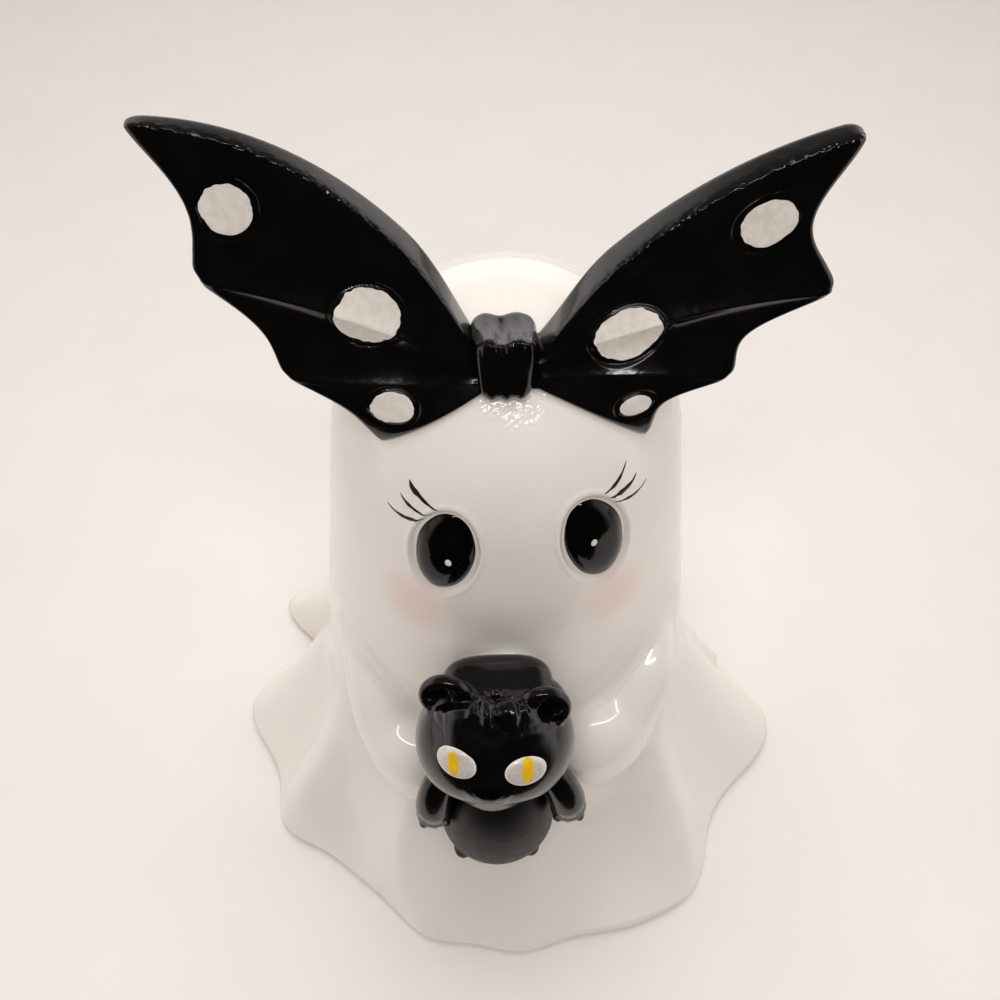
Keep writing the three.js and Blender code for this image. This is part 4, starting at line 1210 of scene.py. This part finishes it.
class FIGURINE_OT_bow(bpy.types.Operator):
    """The pleated knot and the two bat wings of the bow"""

    bl_idname = "figurine.bow"
    bl_label = "Bow"

    def execute(self, context):
        sizes = context.scene.figurine_sizes
        black = finish("black")
        self.knot(sizes, black)
        for name, wing in WINGS.items():
            self.wing(sizes, black, name, wing)
        return {"FINISHED"}

    def knot(self, sizes, black):
        """A boxy band: pleats over its front, folds at its corner, two bumps along its top."""
        place = np.sin(np.linspace(-1, 1, 90) * np.pi / 2)[:, None]
        angle = np.linspace(0, 2 * np.pi, 220, endpoint=False)[None]
        cos, sin = np.cos(angle), np.sin(angle)
        section = (np.abs(cos) ** KNOT_SQUARE + np.abs(sin) ** KNOT_SQUARE) ** (-1 / KNOT_SQUARE)
        section = (1 - (np.abs(place) * 0.95) ** 6) ** 0.25 * section
        front, low = ease(-0.2, 0.7, sin), ease(0.4, -0.9, cos)
        corner = front * np.exp(-((cos - 0.66) / 0.26) ** 2)
        fold = place + 0.05 * np.sin(2 * angle + 1)
        pleat = np.cos(fold * 3.6 * np.pi) * (0.1 + 0.9 * low)
        pleat = pleat + 0.9 * np.cos(fold * 6.3 * np.pi + 0.6) * corner
        pleat = sizes.pleat / MM * pleat * front * (1 - place ** 2) ** 0.5
        bumps = np.exp(-((place + 0.55) / 0.24) ** 2) + np.exp(-((place - 0.42) / 0.26) ** 2)
        dip = np.exp(-((place + 0.06) / 0.2) ** 2)
        bumps = ease(0.3, 0.9, cos) * (0.9 * bumps - 0.9 * dip - KNOT_FLAT)
        tall = KNOT_TALL * 0.93 * section + pleat + bumps
        deep = KNOT_DEEP * 0.93 * section + pleat
        aside = KNOT_ASIDE + place * KNOT_WIDTH / 2 * (0.97 - 0.1 * front - 0.08 * front * low)
        points = bow_point(aside, -KNOT_DROP + tall * cos, -KNOT_BACK + deep * sin)
        middle = bow_point(aside, -KNOT_DROP, -KNOT_BACK)
        streaks = points * [1.0, 0.4, 0.4]
        crinkle = (ripples(streaks, 1.8, 12) + 0.5 * ripples(points, 1.2, 13)) * (0.15 + corner)
        points = points + unit(points - middle) * crinkle[..., None] * sizes.wrinkle / MM
        dress(object_of("bow_knot", loft(points)), black, ["bow_knot"])

    def wing(self, sizes, black, name, wing):
        """One closed skin over four rays: the spar and three panels, hollow between raised ribs."""
        side, thinning = wing["side"], wing["thinning"]
        rays = [np.array(ray, float) for ray in wing["rays"]]

        def ray_point(ray, share):
            share = np.asarray(share)[..., None]
            a, b, c = rays[ray]
            return a * (1 - share) ** 2 + 2 * b * share * (1 - share) + c * share ** 2

        even = np.linspace(0, 1, WING_ROWS)
        share = (np.sin(even * np.pi / 2) * 0.35 + even * 0.65)[:, None]
        thin = 1 - thinning * share
        tip = np.sqrt(np.maximum(0, 1 - (np.maximum(0, share - 1 + TIP_ROUND) / TIP_ROUND) ** 2))
        crest_of = [lambda s, uv, k=k: CRESTS[k] * (1 - 0.4 * s) for k in range(PANELS)]
        crest_of.append(lambda s, uv: head_front(uv[..., 0], uv[..., 1]) + LOWER_PROUD)
        front, back = self.spar(ray_point, share, thin, tip)
        front, back = [front], [back]
        for p in range(PANELS):
            last = p == PANELS - 1
            t = np.linspace(0, 1, WING_COLUMNS)[None, :WING_COLUMNS if last else -1]
            bay = np.sin(np.pi * t)
            blunt = 0.02 * (np.exp(-((1 - t) / 0.05) ** 2) + (p > 0) * np.exp(-(t / 0.05) ** 2))
            reach = share * (1 - wing["scallops"][p] * bay ** 1.4 - blunt)
            upper, lower = ray_point(p, reach), ray_point(p + 1, reach)
            flat = mix(upper, lower, t[..., None])
            high, low = crest_of[p](share, upper), crest_of[p + 1](share, lower)
            hollow = SINKS[p] * bay * np.sqrt(np.sin(np.pi * mix(0.05, 0.95, share)))
            hollow = hollow * mix(0.3, 1.0, ease(0.02, 0.45, share))
            wide = np.linalg.norm(upper - lower, axis=-1)
            below, over = np.hypot(wide * (1 - t), 0.5), np.hypot(wide * t, 0.5)
            crease = np.exp(-below / CREASE_WIDTH) * (not last)
            crease = crease + np.exp(-over / CREASE_WIDTH) * (p > 0)
            crease = CREASE_RISE * ease(0.15, 0.5, share) * crease
            rise = mix(high, low, t) - hollow + crease
            rib = SPAR_THICKNESS if p == 0 else RIB_THICKNESS
            full = mix(mix(rib, RIB_THICKNESS, t), EDGE_THICKNESS, bay * 0.8) * thin
            rounded = 0.5 * full * (1 - tip)
            if last:
                lower_edge = np.maximum(0, t - 0.9) / 0.1
                rounded = np.maximum(rounded, 0.5 * full * (1 - np.sqrt(1 - lower_edge ** 2)))
            front.append(np.concatenate([flat, (rise - rounded)[..., None]], -1))
            back.append(np.concatenate([flat, (rise - full + rounded)[..., None]], -1))
        front, back = np.concatenate(front, 1), np.concatenate(back, 1)
        tuck = [ROOT_TUCK, 0, 0]
        front, back = (np.concatenate([face[:1] - tuck, face]) for face in (front, back))
        for face in (front, back):
            face[..., 0] *= side
        front[..., 2] -= self.rings_cut(sizes, name, front)
        front, back = (bow_point(f[..., 0], f[..., 1], f[..., 2]) for f in (front, back))
        crinkle = 0.8 * ripples(front, 1.3, 21) + 0.6 * ripples(front, 4, 22)
        edge = np.exp(-((np.arange(front.shape[1]) - 9) / 5.0) ** 2)[None]
        crinkle = crinkle * (0.05 + edge) * sizes.wrinkle / MM
        front = front + (BOW_OUT + 0.6 * BOW_UP) * crinkle[..., None]
        dress(object_of(name, slab(front, back)), black, [name])

    def spar(self, ray_point, share, thin, tip):
        """The rolled spar over the wing's top edge: a flat top with a rounded front edge."""
        middle = ray_point(0, share[:, 0])
        ahead = ray_point(0, share[:, 0] + 0.01) - ray_point(0, share[:, 0] - 0.01)
        normal = unit(np.stack([-ahead[:, 1], ahead[:, 0]], -1))
        roll = SPAR_ROLL * thin * mix(0.2, 1.0, ease(0, 0.3, share)) * np.sqrt(np.maximum(tip, 0))

        def rows(angles):
            bend = np.radians(angles)[None]
            behind = 0.5 - 0.5 * np.sign(np.cos(bend)) * np.abs(np.cos(bend)) ** SPAR_SQUARE[0]
            over = np.sin(bend) ** SPAR_SQUARE[1] * mix(0.5, 1.0, behind)
            flat = middle[:, None] + normal[:, None] * (roll * over)[..., None]
            depth = -SPAR_THICKNESS * thin * mix(0.5, behind, tip)
            return np.concatenate([flat, depth[..., None]], -1)

        return rows(np.linspace(90, 2, SPAR_COLUMNS)), rows(np.linspace(95, 178, SPAR_COLUMNS))

    def rings_cut(self, sizes, name, face):
        """Depth of the rings cut around the dots."""
        depth = np.zeros(face.shape[:2])
        for _, (u, v), (wide, tall), turn, _ in DOTS[name]:
            r = math.radians(turn)
            a = (face[..., 0] - u) * math.cos(r) + (face[..., 1] - v) * math.sin(r)
            b = (face[..., 1] - v) * math.cos(r) - (face[..., 0] - u) * math.sin(r)
            away = (np.hypot(a / wide, b / tall) - 1) * (wide + tall) / 2 - RING_GAP
            depth += sizes.ring_depth / MM * np.exp(-(away * MM / sizes.ring_width) ** 2)
        return depth


class FIGURINE_OT_dots(bpy.types.Operator):
    """White dots, hand painted inside the rings cut into the wings"""

    bl_idname = "figurine.dots"
    bl_label = "Dots"

    def execute(self, context):
        paint = context.scene.figurine_sizes.paint / MM
        plane = ACROSS, BOW_UP, BOW_OUT
        for wing, dots in DOTS.items():
            for name, (u, v), (wide, tall), turn, seed in dots:
                edge = oval(wide, tall, sides=150, uneven=0.05, seed=seed, turn=turn) * DOT_SHARE
                middle = bow_point(u, v, 0.0)
                made = patch(
                    name, skin_of(wing), middle, plane, edge,
                    proud=paint * 1.5, sink=-0.06, depth=0.8, rings=26,
                )
                dress(made, finish("dot"))
        return {"FINISHED"}


class FIGURINE_OT_ghost(bpy.types.Operator):
    """The ghost's body: folded hem, dished eye rims, and the white drawn up to its neighbours"""

    bl_idname = "figurine.ghost"
    bl_label = "Ghost's body"

    def execute(self, context):
        sizes = context.scene.figurine_sizes
        near = np.arange(-FINE_SIDE, FINE_SIDE, 0.45)
        far = np.linspace(FINE_SIDE, 360 - FINE_SIDE, 160, endpoint=False)
        azimuth = np.concatenate([near, far])[None]
        grid = np.concatenate([self.hem(azimuth), self.side(azimuth), self.crown(azimuth)])
        beside = np.roll(grid, -1, 1) - np.roll(grid, 1, 1)
        normals = unit(np.cross(beside, np.gradient(grid, axis=0)))
        flat, ways = grid.reshape(-1, 3), normals.reshape(-1, 3)
        move = sizes.wobble / MM * ripples(flat, 24, 1) * ease(2, 8, flat[:, 2])
        middle, spread = FRONT_WRINKLES
        from_knot = np.linalg.norm(flat - middle, axis=1)
        wrinkles = ripples(flat, 1.5, 31) + 0.8 * ripples(flat, 3.4, 32)
        move += 0.5 * sizes.wrinkle / MM * wrinkles * np.exp(-(from_knot / spread) ** 2)
        move -= self.rims(sizes, flat)
        move += self.joints(sizes, flat, ways)
        grid = (flat + ways * move[:, None]).reshape(grid.shape)
        recess = around(azimuth[0], RECESS_RADIUS, 0.0)
        rings = np.concatenate([[recess + [0, 0, RECESS_DEPTH]], [recess], grid])
        pole = np.array([0, 0, HEAD_HEIGHT + HEAD_RADIUS])
        made = object_of("ghost_body", loft(rings, np.array([0, 0, RECESS_DEPTH]), pole))
        dress(made, finish("white"), ["ghost_body"])
        return {"FINISHED"}

    def hem(self, azimuth):
        """The rolled lip at the foot of the skirt."""
        lip = np.linspace(0, np.pi / 2, 8)[:, None]
        radius = body_radius(azimuth, HEM_LIP) - HEM_LIP * (1 - np.sin(lip))
        return around(azimuth, radius, HEM_LIP * (1 - np.cos(lip)))

    def side(self, azimuth):
        """Rows up to the shoulder, closer together where the face is."""
        heights = [np.arange(HEM_LIP + 1.2, 40, 1.3), np.arange(40, 150, 0.8)]
        heights += [np.arange(150, SHOULDER, 0.5)]
        heights = np.concatenate(heights)[:, None]
        return around(azimuth, body_radius(azimuth, heights), heights)

    def crown(self, azimuth):
        """Rows over the round of the head, closest where the wrinkles below the knot are."""
        lift = [np.arange(math.degrees(TAPER), 28, 0.5), np.arange(28, 44, 0.8)]
        lift += [np.arange(44, 62, 0.36), np.arange(62, 89, 1.5)]
        lift = np.radians(np.concatenate(lift))[:, None]
        return around(azimuth, HEAD_RADIUS * np.cos(lift), HEAD_HEIGHT + HEAD_RADIUS * np.sin(lift))

    def rims(self, sizes, points):
        """Depth of the dished rims around the eyes, less the lip around them."""
        depth = np.zeros(len(points))
        for name in EYES:
            share = eye_share(name, points)
            rim = 1 - ease(0.92, 1.02, share)
            lip = LIP_RISE * np.exp(-((share - 1.07) / 0.045) ** 2)
            depth += sizes.rim_depth / MM * rim - lip
        return depth

    def joints(self, sizes, points, ways):
        """How far the white rises to the arms, the cat and the bow."""
        best = np.zeros(len(points))
        plan = [("left_arm", sizes.arm_melt, ARM_TUCK), ("right_arm", sizes.arm_melt, ARM_TUCK)]
        plan += [("cat_head", sizes.cat_melt, 0), ("cat_torso", sizes.cat_melt * 0.6, 0)]
        plan += [("bow_knot", sizes.bow_melt, 0)]
        for name, melt, tuck in plan:
            skin = skin_of(name)
            reach = melt / MM
            close = np.array([skin[0].find_nearest(p, reach + 1)[0] is not None for p in points])
            sink = 0.06 if tuck else 0.12
            rise = blend_rise(
                points[close], ways[close], lambda p, skin=skin: distance_to(skin, p) + sink,
                reach, reach * 0.9, tuck,
            )
            best[close] = np.where(np.abs(rise) > np.abs(best[close]), rise, best[close])
        return best


def arc_height(height):
    """Distance along the surface of the ghost from its shoulder up to a height on its head."""
    lift = np.arcsin(np.clip((height - HEAD_HEIGHT) / HEAD_RADIUS, -1, 1))
    below = (height - SHOULDER) / math.cos(TAPER)
    return np.where(height > SHOULDER, HEAD_RADIUS * (lift - TAPER), below)


def eye_share(name, points):
    """How far points on the body are from the middle of an eye, where 1 is the edge of its rim."""
    azimuth, height, roll, half, _ = EYES[name]
    across = np.degrees(np.arctan2(points[:, 0], -points[:, 1])) - azimuth
    across = np.radians(across) * np.hypot(points[:, 0], points[:, 1])
    up = arc_height(points[:, 2]) - arc_height(height)
    r = math.radians(roll)
    x = across * math.cos(r) + up * math.sin(r)
    y = up * math.cos(r) - across * math.sin(r)
    return np.hypot(x / (half[0] + EYE_RIM), y / (half[1] + EYE_RIM))


class FIGURINE_OT_face(bpy.types.Operator):
    """The ghost's lacquered eyes with their highlights, and its lashes"""

    bl_idname = "figurine.face"
    bl_label = "Ghost's face"

    def execute(self, context):
        sizes = context.scene.figurine_sizes
        paint = sizes.paint / MM
        body = skin_of("ghost_body")
        rim = sizes.rim_depth / MM
        for name, (azimuth, height, roll, half, light) in EYES.items():
            self.eye(name, azimuth, height, roll, half, sizes.eye_proud / MM, rim)
            point, outward = on_body(*light)
            edge = oval(*EYE_LIGHT_HALF, sides=28, uneven=0.05, seed=5)
            axes = frame_at(outward)
            mark = patch(
                name + "_light", skin_of(name), point, axes, edge,
                proud=paint, sink=0.05, depth=0.3, rings=6,
            )
            dress(mark, finish("dot"))
        for name, (places, half_width, fullest) in LASHES.items():
            knots, outwards = on_body(*np.array(places).T)
            lash = stroke(name, body, knots, outwards, half_width, fullest, paint * 0.7)
            dress(lash, finish("lash"))
        return {"FINISHED"}

    def eye(self, name, azimuth, height, roll, half, proud, rim):
        """An oval dome that follows the round of the head."""
        turn = math.radians(roll)
        sides = np.linspace(0, 2 * np.pi, 120, endpoint=False)
        uneven = 1 + 0.006 * np.sin(3 * sides + 1) + 0.004 * np.sin(7 * sides)

        def row(share, stand):
            x = half[0] * share * np.cos(sides) * uneven
            y = half[1] * share * np.sin(sides) * uneven
            across = x * math.cos(turn) - y * math.sin(turn)
            target = arc_height(height) + x * math.sin(turn) + y * math.cos(turn)
            lift = np.maximum(target, 0) / HEAD_RADIUS + TAPER
            on_round = HEAD_HEIGHT + HEAD_RADIUS * np.sin(lift)
            level = np.where(target > 0, on_round, SHOULDER + target * math.cos(TAPER))
            aside = azimuth + np.degrees(across / body_radius(azimuth, level))
            points, outward = on_body(aside, level)
            return points + outward * stand

        shares = np.sin(np.linspace(0.03, 1, 26) * np.pi / 2)
        rings = [row(s, proud + rim * 0.35 - (proud + rim * 1.25) * s ** EYE_ROUND) for s in shares]
        foot = -rim - EYE_FOOT
        rings += [row(1.0, foot), row(0.5, foot)]
        dress(object_of(name, loft(np.array(rings))), finish("eye"), [name])


class FIGURINE_OT_underside(bpy.types.Operator):
    """Finishes for the base plate and the felt disc, which keep their solids"""

    bl_idname = "figurine.underside"
    bl_label = "Underside"

    def execute(self, context):
        for node, name in (("base_plate", "resin"), ("felt_disc", "felt")):
            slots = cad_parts[node].data.materials
            slots.clear()
            slots.append(finish(name))
        return {"FINISHED"}


class FIGURINE_OT_stage(bpy.types.Operator):
    """Floor, studio light and the camera at the photograph's angle"""

    bl_idname = "figurine.stage"
    bl_label = "Stage"

    def execute(self, context):
        half = context.scene.figurine_sizes.floor_size / 2
        for name, near, far in (("floor", FLOOR_EDGE, half), ("floor_in_front", -half, FLOOR_EDGE)):
            mesh = bpy.data.meshes.new(name)
            corners = [(-half, near, 0), (half, near, 0), (half, far, 0), (-half, far, 0)]
            mesh.from_pydata(corners, [], [(0, 1, 2, 3)])
            mesh.materials.append(finish("paper"))
            floor = bpy.data.objects.new(name, mesh)
            context.scene.collection.objects.link(floor)
        floor.visible_glossy = False
        self.lamps(context)
        self.world(context)
        self.camera(context)
        context.scene.view_settings.view_transform = "Standard"
        return {"FINISHED"}

    def lamps(self, context):
        """Wide soft light from above and in front, and a lamp strip that sparks on the gloss."""
        for name, (place, wide, deep, power, mirrored) in LAMPS.items():
            data = bpy.data.lights.new(name, "AREA")
            data.shape = "RECTANGLE"
            data.size = wide
            data.size_y = deep
            data.energy = power
            data.color = linear(LAMP_TONE)
            lamp = bpy.data.objects.new(name, data)
            lamp.location = place
            lamp.rotation_euler = (LAMP_TARGET - Vector(place)).to_track_quat("-Z", "Y").to_euler()
            lamp.visible_glossy = mirrored
            context.scene.collection.objects.link(lamp)

    def world(self, context):
        """A pale room, dim in front, with the floor's own tone where the camera looks past it."""
        world = bpy.data.worlds.new("pale_room")
        context.scene.world = world
        world.use_nodes = True
        tree = world.node_tree
        tree.nodes.clear()
        way = add(tree, "ShaderNodeTexCoord").outputs["Generated"]
        parts = add(tree, "ShaderNodeSeparateXYZ", {0: way}).outputs
        aside = add(tree, "ShaderNodeMath", {
            0: parts["X"], 1: parts["X"],
        }, operation="MULTIPLY").outputs[0]
        share = add(tree, "ShaderNodeMath", {
            0: aside, 1: -SIDE_RISE, 2: 1.0,
        }, operation="MULTIPLY_ADD").outputs[0]
        height = add(tree, "ShaderNodeMath", {0: parts["Z"], 1: share}, operation="MULTIPLY")
        bottom, top = WALL_FADE
        walls = add(tree, "ShaderNodeMapRange", {
            "Value": height.outputs[0], "From Min": bottom, "From Max": top,
            "To Min": WALL_LIGHT, "To Max": ROOF_LIGHT,
        }, interpolation_type="SMOOTHSTEP").outputs["Result"]
        begin, end = FRONT_FADE
        strength = add(tree, "ShaderNodeMapRange", {
            "Value": parts["Y"], "From Min": begin, "From Max": end,
            "To Min": walls, "To Max": FRONT_LIGHT,
        }, interpolation_type="SMOOTHSTEP").outputs["Result"]
        room = add(tree, "ShaderNodeBackground", {
            "Color": rgba(linear(ROOM_TONE)), "Strength": strength,
        }).outputs[0]
        seen = add(tree, "ShaderNodeBackground", {
            "Color": rgba(linear(SEEN_TONE)), "Strength": 1.0,
        }).outputs[0]
        camera = add(tree, "ShaderNodeLightPath").outputs["Is Camera Ray"]
        both = add(tree, "ShaderNodeMixShader", {0: camera, 1: room, 2: seen})
        add(tree, "ShaderNodeOutputWorld", {"Surface": both.outputs[0]})

    def camera(self, context):
        """Looks down on the front of the figure, as the photograph does."""
        turn, lift = math.radians(CAMERA_TURN), math.radians(CAMERA_LIFT)
        level = math.cos(lift)
        right = Vector((math.cos(turn), math.sin(turn), 0))
        back = Vector((math.sin(turn) * level, -math.cos(turn) * level, math.sin(lift)))
        up = back.cross(right)
        data = bpy.data.cameras.new("camera")
        data.sensor_width = CAMERA_SENSOR
        data.lens = CAMERA_LENS
        data.clip_start = 0.01
        camera = bpy.data.objects.new("camera", data)
        place = (CAMERA_PLACE + ORIGIN) * MM
        axes = Matrix((right, up, back)).transposed()
        camera.matrix_world = Matrix.Translation(Vector(place)) @ axes.to_4x4()
        context.scene.collection.objects.link(camera)
        context.scene.camera = camera


class FIGURINE_PT_panel(bpy.types.Panel):
    """Lists the pieces of the figurine and the values that may be changed"""

    bl_label = "Ghost figurine"
    bl_idname = "FIGURINE_PT_panel"
    bl_space_type = "VIEW_3D"
    bl_region_type = "UI"
    bl_category = "Figurine"

    def draw(self, context):
        for step in STEPS:
            self.layout.operator("figurine." + step)
        for group in (context.scene.figurine_sizes, context.scene.figurine_colours):
            box = self.layout.box()
            for key in group.__annotations__:
                box.prop(group, key)


STEPS = ["arms", "cat", "cat_face", "bow", "dots", "ghost", "face", "underside", "stage"]
CLASSES = [
    FIGURINE_PG_sizes, FIGURINE_PG_colours, FIGURINE_OT_arms, FIGURINE_OT_cat, FIGURINE_OT_cat_face,
    FIGURINE_OT_bow, FIGURINE_OT_dots, FIGURINE_OT_ghost, FIGURINE_OT_face, FIGURINE_OT_underside,
    FIGURINE_OT_stage, FIGURINE_PT_panel,
]


def register():
    for cls in CLASSES:
        bpy.utils.register_class(cls)
    bpy.types.Scene.figurine_sizes = bpy.props.PointerProperty(type=FIGURINE_PG_sizes)
    bpy.types.Scene.figurine_colours = bpy.props.PointerProperty(type=FIGURINE_PG_colours)


def unregister():
    del bpy.types.Scene.figurine_sizes
    del bpy.types.Scene.figurine_colours
    for cls in reversed(CLASSES):
        bpy.utils.unregister_class(cls)


def main():
    register()
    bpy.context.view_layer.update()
    for step in STEPS:
        getattr(bpy.ops.figurine, step)()


if __name__ == "__main__":
    main()
